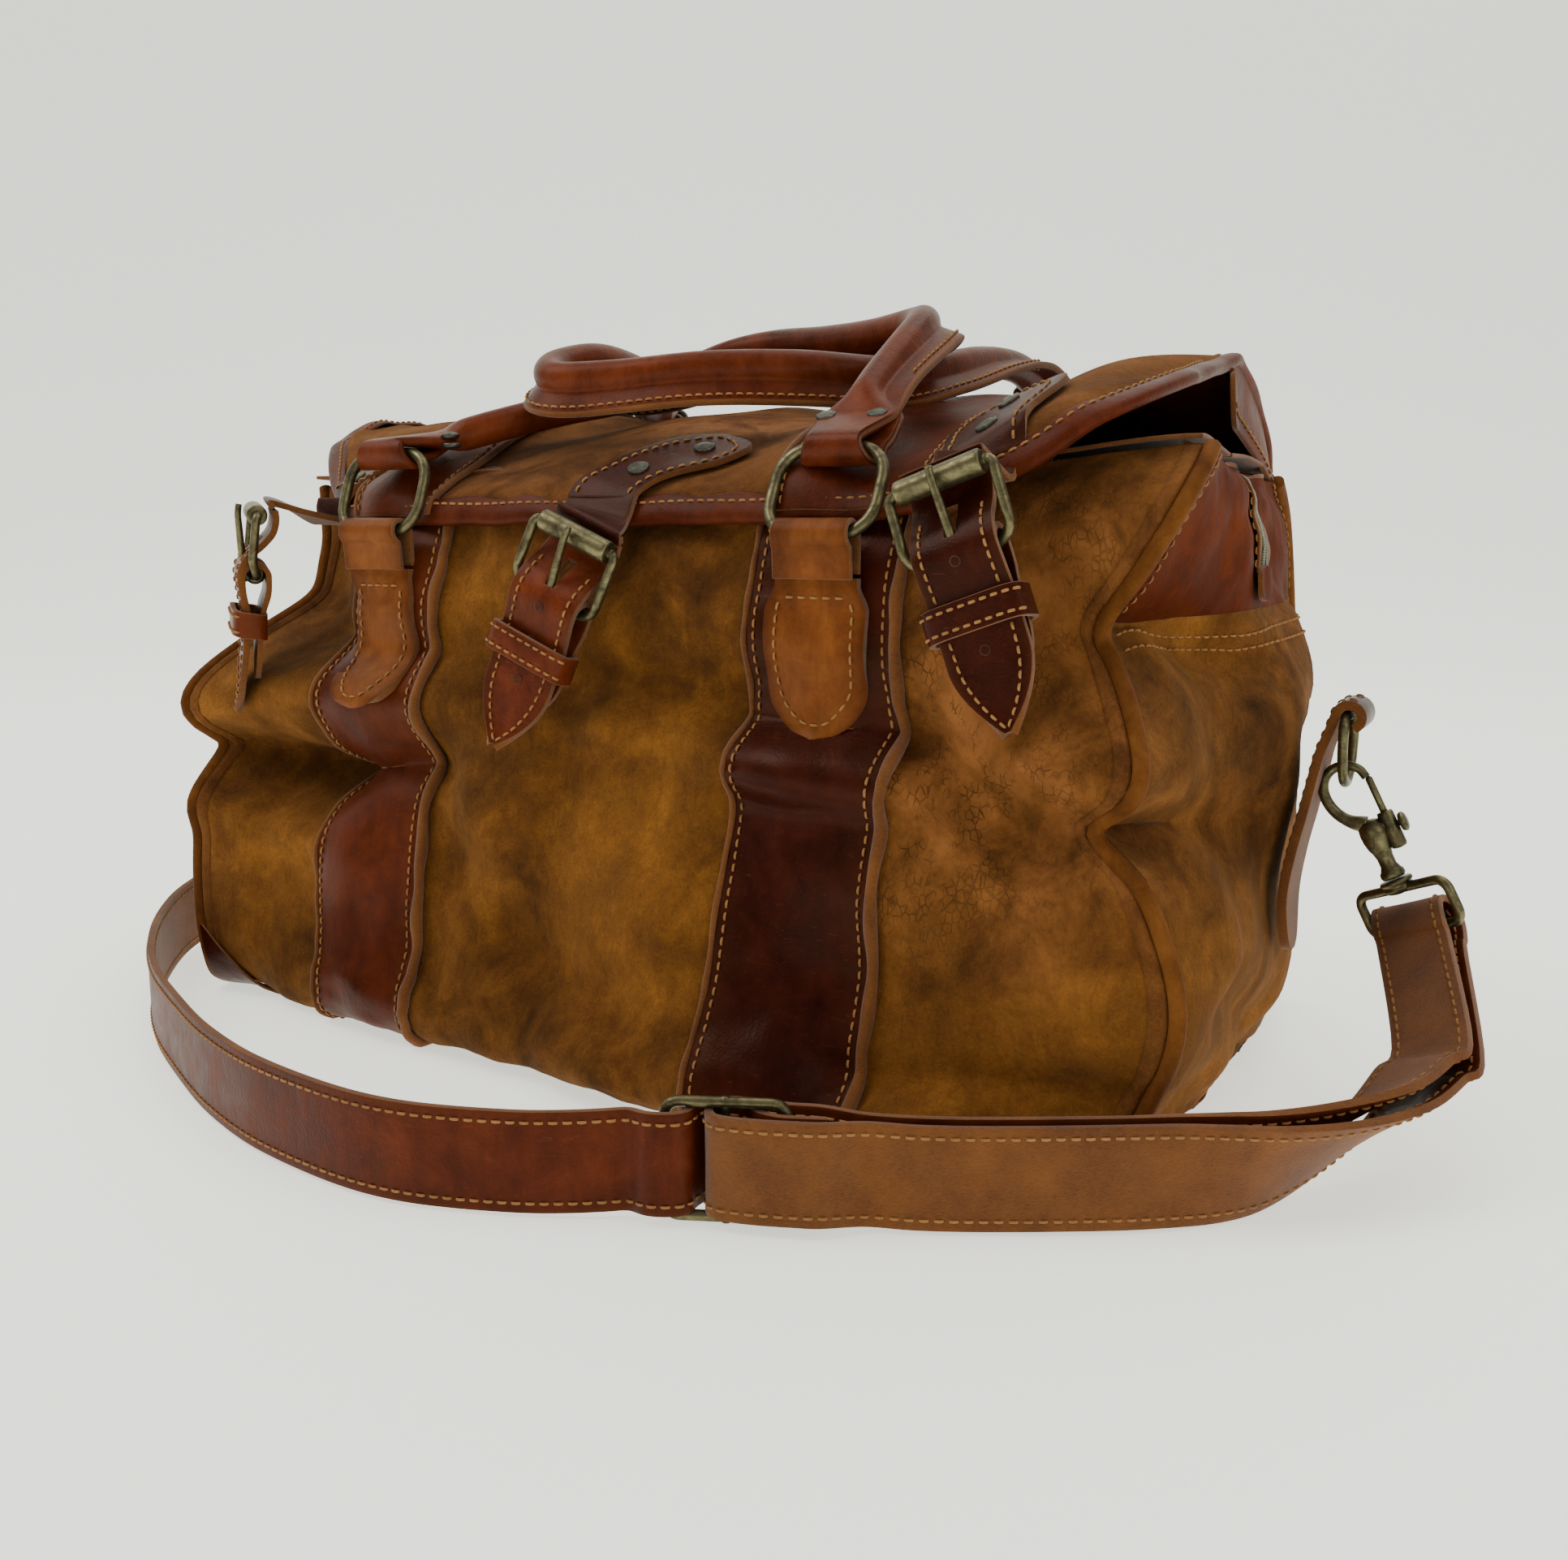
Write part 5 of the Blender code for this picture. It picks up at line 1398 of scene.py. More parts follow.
FRONT_HANDLE = [(0.119, -0.100, 0.287), (0.119, -0.078, 0.303), (0.120, -0.050, 0.321),
                (0.118, -0.028, 0.332), (0.106, -0.008, 0.335), (0.078, 0.006, 0.333),
                (0.044, 0.020, 0.333), (0.012, 0.030, 0.334), (-0.014, 0.028, 0.330),
                (-0.034, 0.008, 0.318), (-0.048, -0.020, 0.307), (-0.062, -0.050, 0.300),
                (-0.080, -0.076, 0.292), (-0.100, -0.094, 0.284)]
BACK_HANDLE = [(0.124, 0.118, 0.312), (0.122, 0.085, 0.322), (0.118, 0.045, 0.322),
               (0.112, 0.005, 0.316), (0.098, -0.028, 0.312), (0.068, -0.052, 0.314),
               (0.030, -0.068, 0.314), (-0.010, -0.080, 0.311), (-0.040, -0.086, 0.311),
               (-0.052, -0.070, 0.318), (-0.050, -0.040, 0.324), (-0.052, -0.005, 0.322),
               (-0.062, 0.040, 0.316), (-0.088, 0.085, 0.316), (-0.114, 0.118, 0.308)]
# which way the sewn flange points along each handle, from the right ring to the left
FRONT_FLANGE = [(1, 0, 0), (1, 0, 0), (1, 0.1, -0.2), (1, 0.2, -0.5), (0.3, 0.6, -0.9), (0, 0.5, -1), (0, 0.5, -1),
                (0, 0.6, -1), (0, 0.6, -1), (-0.6, 0.3, -0.9), (-1, 0, -0.4), (-1, 0, -0.2), (-1, 0, 0), (-1, 0, 0)]
BACK_FLANGE = [(1, 0, 0), (1, 0, 0), (1, 0, -0.3), (1, -0.2, -0.7), (0.4, -0.6, -1), (0, -0.6, -1), (0, -0.6, -1),
               (0, -0.6, -1), (-0.4, -0.5, -1), (-1, -0.2, -0.8), (-1, 0, -0.4), (-1, 0, -0.2), (-1, 0, -0.2),
               (-1, 0, 0), (-1, 0, 0)]
GRIP = 0.0078
FLANGE = 0.0118
FOLD_RADIUS = 0.0058


def handle_outline(flat):
    """The rolled cord with its sewn flange at flat 0, and a plain flat strap at flat 1."""
    rolled, strap = [], []
    for n in range(18):
        turn = math.radians(15 + (360 - 30) * n / 17)
        rolled.append((GRIP * math.cos(turn), GRIP * math.sin(turn)))
    edge = [(GRIP + 0.0008, -0.0016), (GRIP + 0.0040, -0.0018), (GRIP + FLANGE - 0.001, -0.0018),
            (GRIP + FLANGE, -0.0010), (GRIP + FLANGE, 0.0010), (GRIP + FLANGE - 0.001, 0.0018),
            (GRIP + 0.0040, 0.0018), (GRIP + 0.0008, 0.0016)]
    rolled += edge
    # the same number of points round a flat strip, starting at its upper right
    wide, deep = 0.0195, 0.0020
    for n in range(18):
        share = 2 * n / 17
        strap.append((wide - 2 * wide * share, deep) if share < 1 else (-wide + 2 * wide * (share - 1), -deep))
    strap += [(wide, -deep + 2 * deep * n / 7) for n in range(8)]
    return [(a + (c - a) * flat, b + (d - b) * flat) for (a, b), (c, d) in zip(rolled, strap)]


def build_handle(word, knots, flanges):
    """One continuous piece: folded end, flattened tab, rolled grip, tab and folded end."""
    body = f"{word}_handle"
    right, left = ring_top(word, "right"), ring_top(word, "left")
    line = ring_line(word)
    middle = smooth_path(knots, 150)
    hooks = []
    for end, ring in (("right", right), ("left", left)):
        first = middle[0] if end == "right" else middle[-1]
        run = first - ring
        run -= line * run.dot(line)
        run.normalize()
        over = line.cross(run).normalized()
        if over.z < 0 and word == "front":
            over = -over
        if word == "back" and over.y < 0:
            over = -over
        hook = [ring + run * ahead - over * off for ahead, off in ((0.030, 0.0012), (0.020, 0.0030), (0.010, 0.0052))]
        for n in range(1, 15):
            turn = math.radians(-165 + 255 * n / 14)
            hook.append(ring - run * FOLD_RADIUS * math.cos(turn) + over * FOLD_RADIUS * math.sin(turn))
        hooks.append(hook)
    hook_r, hook_l = hooks
    path = hook_r + middle + list(reversed(hook_l))
    total = len(path)
    first, last = len(hook_r), total - len(hook_l)
    frames, outlines = [], []
    gone = [0.0]
    for a, b in zip(path, path[1:]):
        gone.append(gone[-1] + (b - a).length)
    flanges = [Vector(f) for f in flanges]
    for n, place in enumerate(path):
        ahead = (path[min(n + 1, total - 1)] - path[max(n - 1, 0)]).normalized()
        share = min(max((n - first) / max(last - 1 - first, 1), 0.0), 1.0)
        guide = Vector(through(flanges, share))
        if n < first or share < 0.02:
            guide = line.copy()
        if n >= last or share > 0.98:
            guide = -line
        across = (guide - ahead * guide.dot(ahead)).normalized()
        up = ahead.cross(across).normalized()
        near = min(gone[n] - gone[first - 6], gone[last + 5] - gone[n])
        flat = 1.0 - ease((near - 0.026) / 0.022)
        if n < first - 6 or n > last + 5:
            flat = 1.0
        # narrow where it passes through the ring, wide under the rivets
        from_ring = min(abs(gone[n] - gone[first - 1]), abs(gone[last] - gone[n]))
        neck = 1.0 - 0.34 * math.exp(-(from_ring / 0.012) ** 2)
        frames.append((place, across, up, neck if flat > 0.5 else 1.0, 1.0))
        outlines.append(handle_outline(flat))
    count = len(outlines[0])
    rings = carried(frames, outlines)
    thing = loft(f"handle_{word}_leather", rings, [HANDLE_SKIN, EDGE_SKIN])
    values = []
    for ring in rings:
        for k, corner in enumerate(ring):
            patch = 0.5 + 0.5 * noise.noise(corner * 25)
            values += [min(1.0, 0.45 * patch + (0.35 if k >= 18 else 0.0)), 0.15 * patch ** 3, 0.0, 1.0]
    thing.data.color_attributes.new("wear", "FLOAT_COLOR", "POINT").data.foreach_set("color", values)
    # the flange's outer edge is cut leather
    for place, face in enumerate(thing.data.polygons):
        if place < (total - 1) * count and place % count in (20, 21, 22):
            face.material_index = 1
    smooth = thing.modifiers.new("round", "SUBSURF")
    smooth.levels = smooth.render_levels = 1
    placed_on(thing, body, "leather", f"handle_{word}")

    runs = []
    for face_side in (1, -1):
        run = []
        for n in range(first + 12, last - 12):
            place, across, up, _, _ = frames[n]
            edge = outlines[n][22][0]
            run.append((place + across * (edge - 0.0042) + up * (0.0021 * face_side), up * face_side))
        runs.append(run)
    stitches(f"handle_{word}_stitch", runs, body, PALE_THREAD, pitch=0.0046, length=0.0034)
    for end, base, step in (("right", first - 1, 1), ("left", last, -1)):
        n = base
        while min(abs(gone[n] - gone[base]), 1) < 0.019:
            n += step
        place, across, up, _, _ = frames[n]
        for k, off in enumerate((-0.0115, 0.0115)):
            for face_side in (1, -1):
                rivet(f"handle_{word}_rivet_{end}_{k}_{'over' if face_side > 0 else 'under'}",
                      place + across * off + up * (0.0021 * face_side), up * face_side, body, 0.0044)


def build_bridge(word):
    """The length of closure strap that bends over the flap's edge, between its tab and its hanging end."""
    roller, _, tilt, _, _ = CLOSURES[word]
    placed = closure_matrix(word)
    across_top = Vector((1, 0, 0))
    across_low = placed.to_3x3() @ across_top
    x = roller[0] + 0.012 * math.sin(tilt)
    knots = [flap_point(x, share, SUEDE + lift + flap_folds(x, share) * ease((0.915 - share) / 0.05))
             for share, lift in ((0.885, 0.0040), (0.915, 0.0045), (0.948, 0.0053), (0.975, 0.0068))]
    hang = [placed @ Vector((0.0, -out, -drop)) for out, drop in ((-0.0034, -0.0090), (-0.0066, -0.0030))]
    edge = flap_point(x, 0.995, 0.0092)
    knots += [edge.lerp(hang[0], 0.25), edge.lerp(hang[0], 0.80), hang[0].lerp(hang[1], 0.3), hang[1]]
    middle = smooth_path(knots, 30)

    def bridge(u, v):
        place = v * 29
        n = min(int(place), 28)
        point = middle[n].lerp(middle[n + 1], place - n)
        across = across_top.lerp(across_low, ease(v * 1.2)).normalized()
        return point + across * ((2 * u - 1) * STRAP_WIDTH / 2 * 1.01)

    us = marked(STRAP_WIDTH, (0.0040, 0.0300), 0.004)
    skin = DARK_SKIN if word == "right" else PLUM_SKIN
    piece = grid(f"closure_{word}_bridge", lambda u, v: bridge(1 - u, v), us, evenly(40), 0.0028, [skin, EDGE_SKIN],
                 edge_wear(0.6, 0.4))
    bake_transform(piece)
    return piece


# the zip's slider and pull

def build_zip():
    low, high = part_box("zip_slider")
    middle = (Vector(low) + Vector(high)) / 2
    place = Matrix.Translation(middle)

    def body(u, v):
        turn = 2 * math.pi * u
        wide = 0.0046 * (1 - 0.25 * ease((v - 0.5) / 0.5))
        high = 0.00225
        x = -0.006 + 0.012 * v
        squeeze = math.sqrt(max(1 - abs(2 * v - 1) ** 6, 0.05))
        return place @ Vector((x, wide * squeeze * math.copysign(abs(math.cos(turn)) ** 0.4, math.cos(turn)),
                               high * squeeze * math.copysign(abs(math.sin(turn)) ** 0.4, math.sin(turn))))

    rings = [[body(n / 32, v) for n in range(32)] for v in evenly(16)]
    placed_on(loft("zip_slider_cast", rings, [BRASS]), "zip_slider", "aged_brass", "zip_slider")
    low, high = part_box("zip_pull")
    low, high = Vector(low), Vector(high)

    def pull(u, v):
        rounding = math.sqrt(max(1 - (max(v - 0.85, 0) / 0.16) ** 2, 0.02))
        y = (2 * u - 1) * 0.004 * (0.75 + 0.25 * ease(v / 0.2)) * rounding
        return Vector((low.x + (high.x - low.x) * v, -y, high.z - 0.0001 + 0.0004 * math.sin(3 * v)))

    piece = grid("zip_pull_leather", pull, marked(0.008, (0.0018, 0.0062), 0.002), list(evenly(30)), 0.0016,
                 [LEATHER_SKIN, EDGE_SKIN], edge_wear(0.4, 0.5))
    placed_on(piece, "zip_pull", "leather", "zip_pull")
    link = [Vector((low.x - 0.0023 + 0.0040 * a, 0.0026 * b, high.z - 0.0008)) for a, b in circle(40)]
    placed_on(wire("zip_pull_link", link, 0.0006, [BRASS], closed=True, sides=8), "zip_pull", "aged_brass")


# the D-rings and snap hooks

BAR_TURN = Matrix.Rotation(math.radians(-33), 4, "Z") @ Matrix.Rotation(math.radians(90), 4, "X")
BAR_LOW = -0.02275
FRAME_BEND = 0.0050
# half of a D-ring, from its bar round to its foot
D_SIDE = [(0.0100, 0.0), (0.0138, -0.0020), (0.0146, -0.0080), (0.0140, -0.0140), (0.0115, -0.0215), (0.0065, -0.0268)]


def end_matrix(side):
    return Matrix.Rotation(0.0 if side > 0 else math.pi, 4, "Z")


def hook_matrix(turned_end):
    return (turned_end @ Matrix.Translation((HANG_X, 0.0, HANG_Z - 0.029))
            @ Matrix.Rotation(-HOOK_TILT, 4, "Y"))


def loop_matrix(turned_end):
    """The plane of the loop under a swivel."""
    return hook_matrix(turned_end) @ Matrix.Translation((0.0018, 0.0, -0.0452)) @ BAR_TURN


def build_hangers():
    for word, side in (("left", -1), ("right", 1)):
        turned_end = end_matrix(side)

        # a strap sewn up the end, folded round the D-ring's bar
        def strip(u, v, side=side, turned_end=turned_end):
            run = [(abs(end_wall(side, 0.0, share_at(z), SUEDE + 0.0058).x), z) for z in (0.062, 0.085, 0.104, 0.122)]
            run += [(0.2890, 0.140), (0.2912, 0.151), (0.2945, 0.161)]
            for n in range(9):
                turn = math.pi * (0.93 - n / 8 * 1.25)
                run.append((HANG_X + 0.0072 * math.cos(turn), HANG_Z + 0.0072 * math.sin(turn)))
            x, z = through(run, v)
            half = 0.0125 + 0.0035 * ease((0.45 - v) / 0.2)
            if v < 0.10:
                half *= math.sqrt(max(1 - ((0.10 - v) / 0.102) ** 2, 0.02))
            return turned_end @ Vector((x + 0.0012, (1 - 2 * u) * half, z))

        us = marked(0.028, (0.004, 0.024), 0.003)
        piece = grid(f"dring_strap_{word}", strip, us, evenly(80), 0.0040, [DARK_SKIN, EDGE_SKIN],
                     edge_wear(0.6, 0.4))
        placed_on(piece, "bag", "leather", f"dring_tab_{word}")
        stitches(f"dring_strap_stitch_{word}", [run_on(strip, ((u, 0.10), (u, 0.72))) for u in (0.16, 0.84)], "bag",
                 PALE_THREAD)

        hung = turned_end @ Matrix.Translation((HANG_X, 0.0, HANG_Z))
        mirror = [(-y, z) for y, z in reversed(D_SIDE)]
        loop = mirror[-1:] + [(0.0, 0.0)] + D_SIDE + [(0.0, -0.0288)] + mirror[:-1]
        path = smooth_path([hung @ Vector((0.0, y, z)) for y, z in loop], 90, closed=True)
        placed_on(wire(f"dring_{word}_wire", path, 0.0021, [BRASS], closed=True), f"dring_{word}", "aged_brass",
                  f"dring_{word}")
        build_hook(word, turned_end)


def build_hook(word, turned_end):
    placed = hook_matrix(turned_end)
    # the hook's bow, thick at its neck
    bow = [(0.0085, 0.0, -0.0010), (0.0072, 0.0, 0.0034), (0.0034, 0.0, 0.0066), (-0.0018, 0.0, 0.0074),
           (-0.0068, 0.0, 0.0052), (-0.0097, 0.0, 0.0004), (-0.0101, 0.0, -0.0056), (-0.0082, 0.0, -0.0116),
           (-0.0044, 0.0, -0.0164), (0.0006, 0.0, -0.0196)]
    path = smooth_path([placed @ Vector(p) for p in bow], 70)
    piece = wire(f"hook_{word}_bow", path, 0.0025, [BRASS],
                 radii=lambda s: 0.72 + 0.35 * s + 0.35 * ease((s - 0.8) / 0.2))
    placed_on(piece, f"hook_{word}", "aged_brass", f"hook_body_{word}")
    # the barrel: a cast body, then a waist and a foot in the collar
    spine = placed @ Matrix.Translation((0.0018, 0.0, 0.0))
    profile = [(0.0020, -0.0180), (0.0042, -0.0188), (0.0054, -0.0206), (0.0058, -0.0235), (0.0056, -0.0270),
               (0.0050, -0.0300), (0.0040, -0.0325), (0.0034, -0.0350), (0.0034, -0.0385), (0.0042, -0.0405),
               (0.0050, -0.0415), (0.0052, -0.0432), (0.0046, -0.0442), (0.0020, -0.0446)]
    barrel = lathe(f"hook_{word}_barrel", profile, spine, [BRASS])
    placed_on(barrel, f"hook_{word}", "aged_brass")
    guide = placed @ Matrix.Translation((0.0092, 0.0, 0.0))
    sleeve = lathe(f"hook_{word}_sleeve", [(0.0016, -0.0168), (0.0031, -0.0170), (0.0034, -0.0180), (0.0034, -0.0316),
                                           (0.0030, -0.0328), (0.0016, -0.0332)], guide, [BRASS], 20)
    placed_on(sleeve, f"hook_{word}", "aged_brass")
    web = [placed @ Vector((x, 0.0, z)) for x, z in ((0.0030, -0.0215), (0.0085, -0.0225))]
    placed_on(wire(f"hook_{word}_web", resampled(web, 8), 0.0030, [BRASS]), f"hook_{word}", "aged_brass")
    # the gate: a pin that closes the bow, and the thumb stud on its side
    pin = lathe(f"hook_{word}_pin", [(0.0006, -0.0008), (0.0013, -0.0014), (0.0015, -0.0022), (0.0015, -0.0262),
                                     (0.0008, -0.0266)], guide, [BRASS], 18)
    placed_on(pin, f"gate_{word}", "aged_brass", f"hook_gate_{word}")
    stud = placed @ Matrix.Translation((0.0128, 0.0, -0.0235)) @ Matrix.Rotation(math.radians(90), 4, "Y")
    knob = lathe(f"hook_{word}_stud", [(0.0013, -0.0022), (0.0013, 0.0), (0.0036, 0.0006), (0.0042, 0.0016),
                                       (0.0041, 0.0026), (0.0030, 0.0033), (0.0008, 0.0036)], stud, [BRASS], 20)
    placed_on(knob, f"gate_{word}", "aged_brass")
    # the collar with its rings, and the loop under it
    profile = [(0.0030, -0.0450), (0.0066, -0.0452), (0.0070, -0.0460), (0.0066, -0.0468), (0.0058, -0.0474),
               (0.0064, -0.0482), (0.0062, -0.0496), (0.0050, -0.0506), (0.0030, -0.0512)]
    collar = lathe(f"swivel_{word}_collar", profile, spine, [BRASS])
    placed_on(collar, f"swivel_{word}", "aged_brass", f"hook_swivel_{word}")
    loop_at = loop_matrix(turned_end)
    knots = [loop_at @ Vector((x, y, 0.0)) for x, y in rounded_frame(0.0242, -0.0040, BAR_LOW, FRAME_BEND, 7)]
    placed_on(closed_wire(f"swivel_{word}_loop", knots, 120, FRAME_WIRE), f"swivel_{word}", "aged_brass")


def strap_bar(side):
    """The middle and the direction of the bar that the strap's fold hangs on."""
    placed = loop_matrix(end_matrix(side))
    return placed @ Vector((0.0, BAR_LOW, 0.0)), (placed.to_3x3() @ Vector((1.0, 0.0, 0.0))).normalized()


# the shoulder strap, along the CAD's own route
GROUND = [(0.352, -0.066, 0.046), (0.338, -0.100, 0.032), (0.309, -0.138, 0.0225),
          (0.278, -0.162, 0.0205), (0.240, -0.186, 0.0205), (0.202, -0.206, 0.0205),
          (0.172, -0.220, 0.0222)]
FAR_GROUND = [(0.105, -0.249, 0.0222), (0.070, -0.266, 0.0205), (0.018, -0.280, 0.0205),
              (-0.040, -0.274, 0.0205), (-0.092, -0.258, 0.0205), (-0.145, -0.232, 0.0205),
              (-0.202, -0.198, 0.0205), (-0.256, -0.153, 0.0205), (-0.303, -0.100, 0.0205),
              (-0.330, -0.050, 0.024), (-0.352, -0.010, 0.034), (-0.356, 0.025, 0.046)]
SLIDER_AT = Vector((0.137, -0.235, 0.0232))
SLIDER_TURN = math.radians(23)
SIDE_GAP = 0.0042


def slider_matrix():
    return Matrix.Translation(SLIDER_AT) @ Matrix.Rotation(SLIDER_TURN, 4, "Z")


def strap_stations():
    """Middle points of the strap, one after another, each with its width direction."""
    upright = Vector((0.0, 0.0, 1.0))
    slider = slider_matrix()
    stations = []

    def add(point, width):
        stations.append((Vector(point), Vector(width).normalized()))

    for a, b in ((0.036, -0.0052), (0.028, -0.0052), (0.020, -0.0050), (0.013, -0.0018),
                 (0.0075, 0.0034), (0.0030, 0.0052), (-0.0020, 0.0052), (-0.0056, 0.0018),
                 (-0.0056, -0.0024), (-0.0030, -0.0066), (0.004, -0.0088), (0.013, -0.0100),
                 (0.024, -0.0106), (0.034, -0.0106)):
        add(slider @ Vector((a, b, 0.0)), upright)
    bar, along = strap_bar(1)

    def doubled(share, offset):
        run = [Vector(p) for p in reversed(GROUND)]
        here = Vector(through(run, share))
        ahead = Vector(through(run, share + 0.02)) - Vector(through(run, share - 0.02))
        width = upright.lerp(along, ease((share - 0.42) / 0.58))
        width.normalize()
        away = ahead.cross(width).normalized()
        return here + away * offset, width

    for step in range(1, 15):
        add(*doubled(step / 14, SIDE_GAP))
    last, _ = doubled(1.0, 0.0)
    run = (bar - last).normalized()
    away = run.cross(along).normalized()
    for ahead, off in ((-0.016, 0.0046), (-0.006, 0.0062), (0.004, 0.0068), (0.011, 0.0052),
                       (0.0145, 0.0), (0.011, -0.0052), (0.004, -0.0068), (-0.006, -0.0062),
                       (-0.016, -0.0046)):
        add(bar + run * ahead + away * off, along)
    for step in range(14, 0, -1):
        add(*doubled(step / 14, -SIDE_GAP))
    for a, b in ((0.034, 0.0060), (0.022, 0.0070), (0.010, 0.0098), (0.000, 0.0110),
                 (-0.0080, 0.0085), (-0.0118, 0.0030), (-0.0140, -0.0035), (-0.0190, -0.0062),
                 (-0.027, -0.0060)):
        add(slider @ Vector((a, b, 0.0)), upright)
    bar, along = strap_bar(-1)
    for step in range(37):
        share = step / 36
        width = upright.lerp(along * -1.0, ease((share - 0.80) / 0.20))
        add(through(FAR_GROUND, share), width)
    last = Vector(FAR_GROUND[-1])
    run = (bar - last).normalized()
    away = run.cross(along).normalized()
    for ahead, off in ((-0.010, 0.0058), (0.000, 0.0066), (0.006, 0.0056), (0.0095, 0.0),
                       (0.006, -0.0056), (0.000, -0.0066), (-0.008, -0.0064)):
        add(bar + run * ahead + away * -off, along * -1.0)
    return stations


def build_shoulder_strap():
    stations = strap_stations()
    places = [p for p, _ in stations]
    widths = [w for _, w in stations]
    rows = len(stations) * 5

    def centre(v):
        return Vector(through(places, v)), Vector(through(widths, v)).normalized()

    def strap(u, v):
        middle, width = centre(v)
        ahead = (Vector(through(places, v + 0.003)) - Vector(through(places, v - 0.003))).normalized()
        away = ahead.cross(width).normalized()
        wave = 0.0006 * noise.noise(Vector((v * 60, 0.3, 0.0)))
        crown = 0.0005 * math.sin(math.pi * u)
        return middle + width * ((u - 0.5) * SHOULDER_WIDTH) - away * (SHOULDER_THICK / 2 + crown * 0.5 + wave * 0.3)

    us = marked(SHOULDER_WIDTH, (0.0038, 0.0342), 0.005)
    vs = evenly(rows)
    piece = grid("shoulder_strap_leather", strap, us, vs, 0.0030, [LEATHER_SKIN, EDGE_SKIN], edge_wear(0.4, 0.35))
    placed_on(piece, "bag", "leather", "shoulder_strap")
    runs = []
    for u in (0.100, 0.900):
        for out in (0.0002, -0.0031):
            run = []
            for n in range(rows * 2 + 1):
                v = 0.004 + 0.992 * n / (rows * 2)
                here = strap(u, v)
                along = strap(u, v + 0.001) - strap(u, v - 0.001)
                normal = (strap(u + 0.02, v) - strap(u - 0.02, v)).cross(along).normalized()
                run.append((here + normal * out, normal if out > 0 else -normal))
            runs.append(run)
    stitches("shoulder_strap_stitch", runs, "bag", PALE_THREAD, pitch=0.0052, length=0.0038)

    # the slider: a flat wire frame with a middle bar
    place = slider_matrix() @ Matrix.Rotation(math.radians(90), 4, "X")
    tall = 0.0214
    knots = [place @ Vector((x, y, 0.0)) for x, y in rounded_frame(0.0218, tall, -tall, FRAME_BEND, 7)]
    placed_on(closed_wire("strap_slider_frame", knots, 140, FRAME_WIRE), "bag", "aged_brass", "strap_slider")
    bar = [place @ Vector((0.0, y, 0.0)) for y in (-tall - 0.0022, -tall / 2, 0.0, tall / 2, tall + 0.0022)]
    placed_on(wire("strap_slider_bar", resampled(bar, 12), 0.0017, [BRASS]), "bag", "aged_brass")


# the room and the light

CAMERA_TURN = math.radians(28.5)


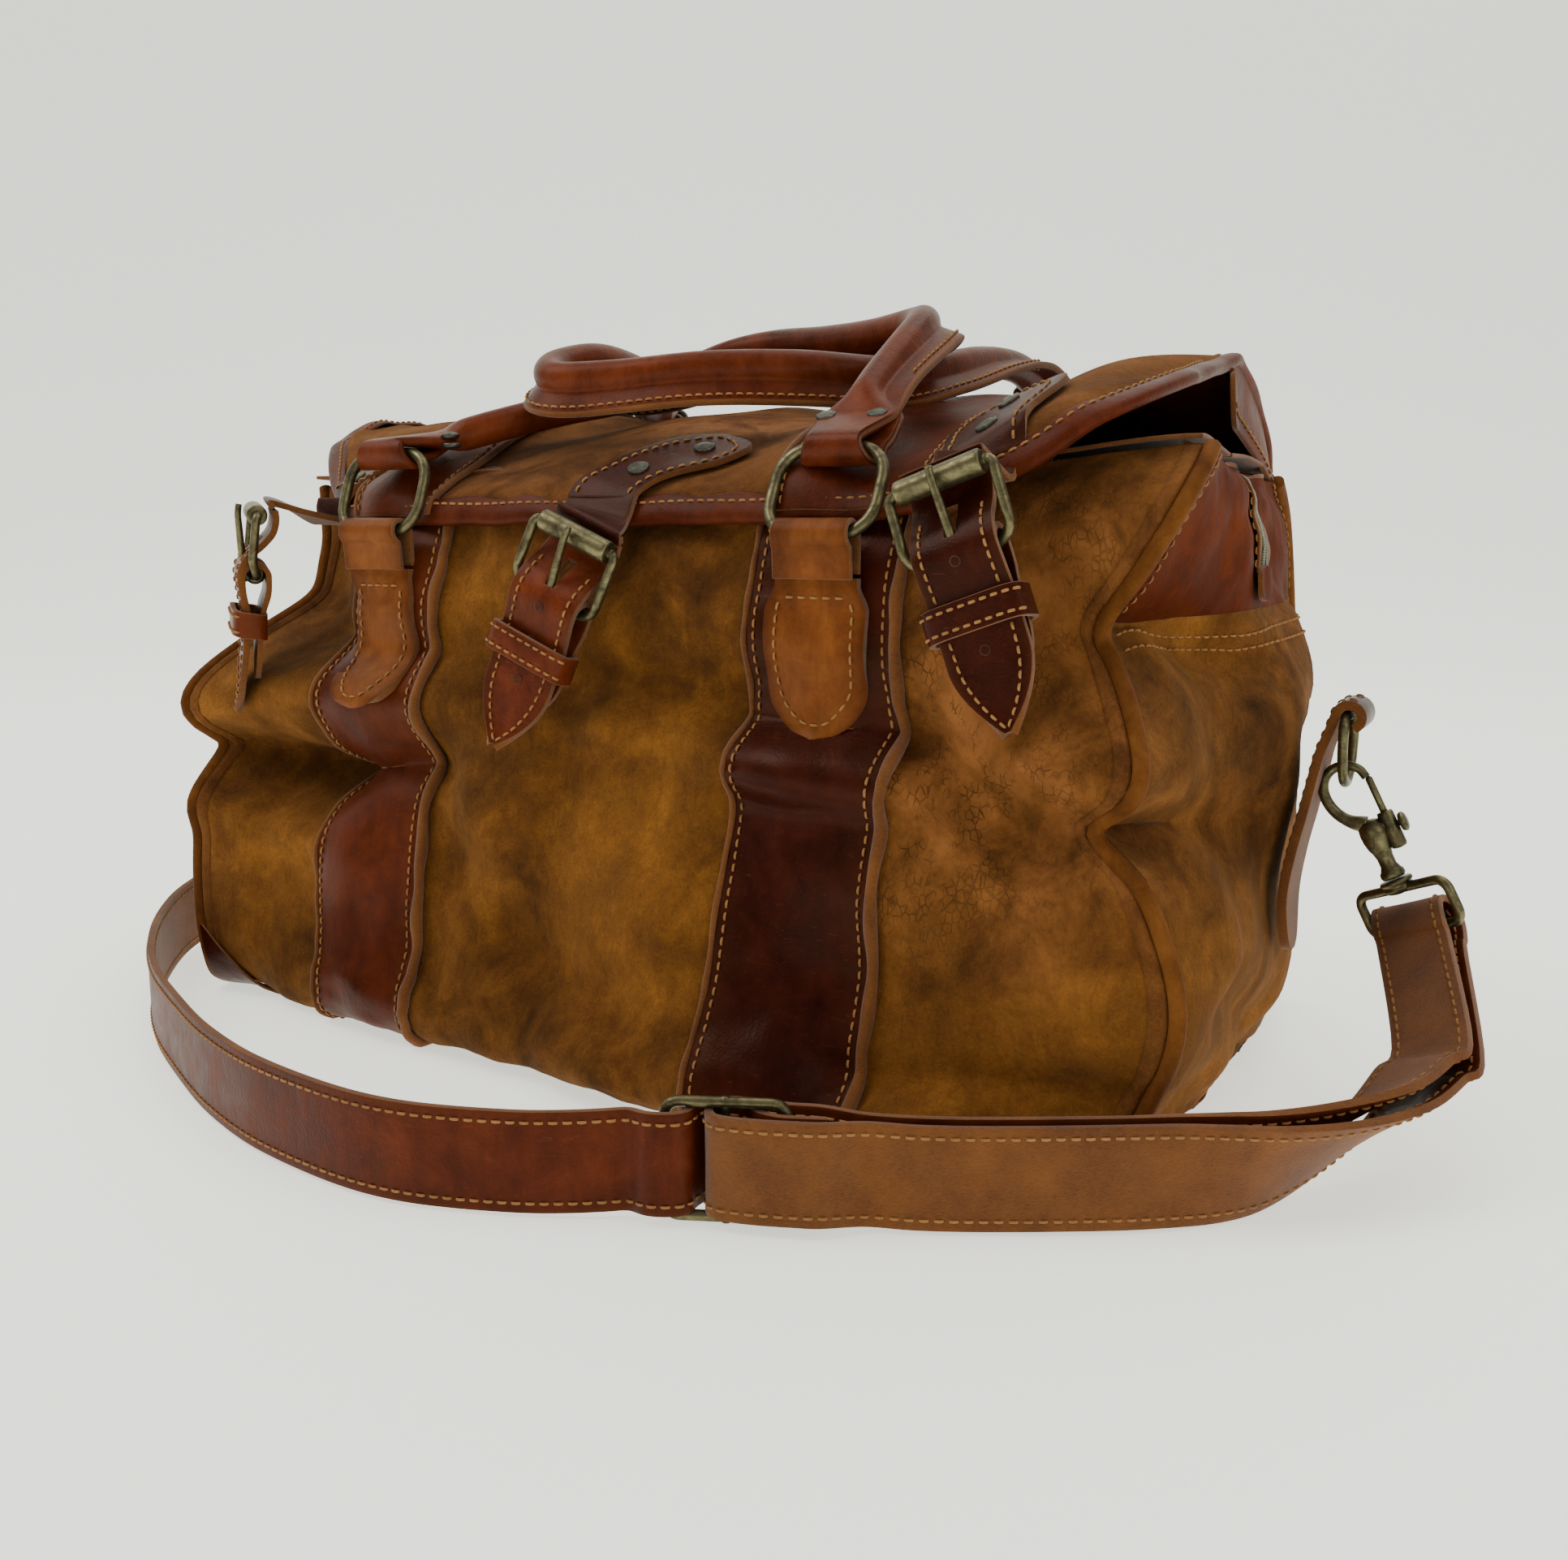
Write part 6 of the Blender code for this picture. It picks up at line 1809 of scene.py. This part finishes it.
def build_stage():
    """A floor that sweeps up behind the bag, square to the camera, three lamps and the camera."""
    mesh = bpy.data.meshes.new("floor")
    flat, radius = 1.6, 5.0
    profile = [(-14.0, 0.0), (flat, 0.0)]
    for n in range(1, 25):
        turn = math.radians(90 * n / 24)
        profile.append((flat + radius * math.sin(turn), radius * (1 - math.cos(turn))))
    profile.append((flat + radius, 12.0))
    back = Vector((-math.sin(CAMERA_TURN), math.cos(CAMERA_TURN), 0.0))
    side = Vector((back.y, -back.x, 0.0))
    corners = []
    for along, high in profile:
        for across in (-16.0, 16.0):
            corners.append(back * along + side * across + Vector((0, 0, high - 0.0002)))
    faces = [(2 * n, 2 * n + 1, 2 * n + 3, 2 * n + 2) for n in range(len(profile) - 1)]
    mesh.from_pydata(corners, [], faces)
    made, tree, shader, place = blank("floor_paint")
    shader.inputs["Base Color"].default_value = tone(228, 229, 226)
    shader.inputs["Roughness"].default_value = 0.55
    shader.inputs["Specular IOR Level"].default_value = 0.30
    # the floor glows, more on its far sweep: painted light standing in for a studio's lit backdrop
    far = tree.nodes.new("ShaderNodeVectorMath")
    far.operation = "LENGTH"
    tree.links.new(place, far.inputs[0])
    glow = tree.nodes.new("ShaderNodeMapRange")
    glow.interpolation_type = "SMOOTHSTEP"
    for socket, value in ((1, 0.9), (2, 3.4), (3, 1.12), (4, 1.60)):
        glow.inputs[socket].default_value = value
    tree.links.new(far.outputs["Value"], glow.inputs["Value"])
    # and kept dim on the right, where it would shine in the leather of the bag's end
    split = tree.nodes.new("ShaderNodeSeparateXYZ")
    tree.links.new(place, split.inputs[0])
    shade = tree.nodes.new("ShaderNodeMapRange")
    shade.interpolation_type = "SMOOTHSTEP"
    for socket, value in ((1, 0.55), (2, 1.8), (3, 1.0), (4, 0.45)):
        shade.inputs[socket].default_value = value
    tree.links.new(split.outputs["X"], shade.inputs["Value"])
    lit = maths(tree, "MULTIPLY", glow.outputs["Result"], shade.outputs["Result"])
    tree.links.new(lit, shader.inputs["Emission Strength"])
    shader.inputs["Emission Color"].default_value = (0.98, 1.0, 0.89, 1.0)
    floor = bpy.data.objects.new("floor", mesh)
    bpy.context.scene.collection.objects.link(floor)
    mesh.materials.append(made)
    mesh.shade_smooth()

    world = bpy.data.worlds.new("studio")
    world.use_nodes = True
    world.node_tree.nodes["Background"].inputs["Color"].default_value = (0.86, 0.88, 0.87, 1.0)
    world.node_tree.nodes["Background"].inputs["Strength"].default_value = 0.40
    bpy.context.scene.world = world
    for name, place, size, power in (("key", (-1.3, -1.1, 2.3), 1.5, 35.0), ("top", (0.5, 0.5, 2.6), 2.0, 28.0),
                                     ("fill", (2.1, -0.9, 1.4), 1.6, 15.0)):
        lamp = bpy.data.lights.new(name, "AREA")
        lamp.energy = power
        lamp.size = size
        lamp.color = (1.0, 0.98, 0.95)
        thing = bpy.data.objects.new(name, lamp)
        thing.location = place
        thing.rotation_euler = (Vector((0.0, 0.0, 0.12)) - Vector(place)).to_track_quat("-Z", "Y").to_euler()
        bpy.context.scene.collection.objects.link(thing)

    lens = bpy.data.cameras.new("camera")
    lens.lens = 35.4
    lens.sensor_width = 36.0
    eye = bpy.data.objects.new("camera", lens)
    eye.location = (0.4015, -0.679, 0.247)
    eye.rotation_euler = (math.radians(80.4), 0.0, CAMERA_TURN)
    bpy.context.scene.collection.objects.link(eye)
    bpy.context.scene.camera = eye


random.seed(7)
noise.seed_set(7)
build_stage()
build_shell()
build_bands()
build_rings()
build_flap()
for closure in CLOSURES:
    build_closure(closure)
    build_bridge(closure)
build_handle("front", FRONT_HANDLE, FRONT_FLANGE)
build_handle("back", BACK_HANDLE, BACK_FLANGE)
build_zip()
build_hangers()
build_shoulder_strap()
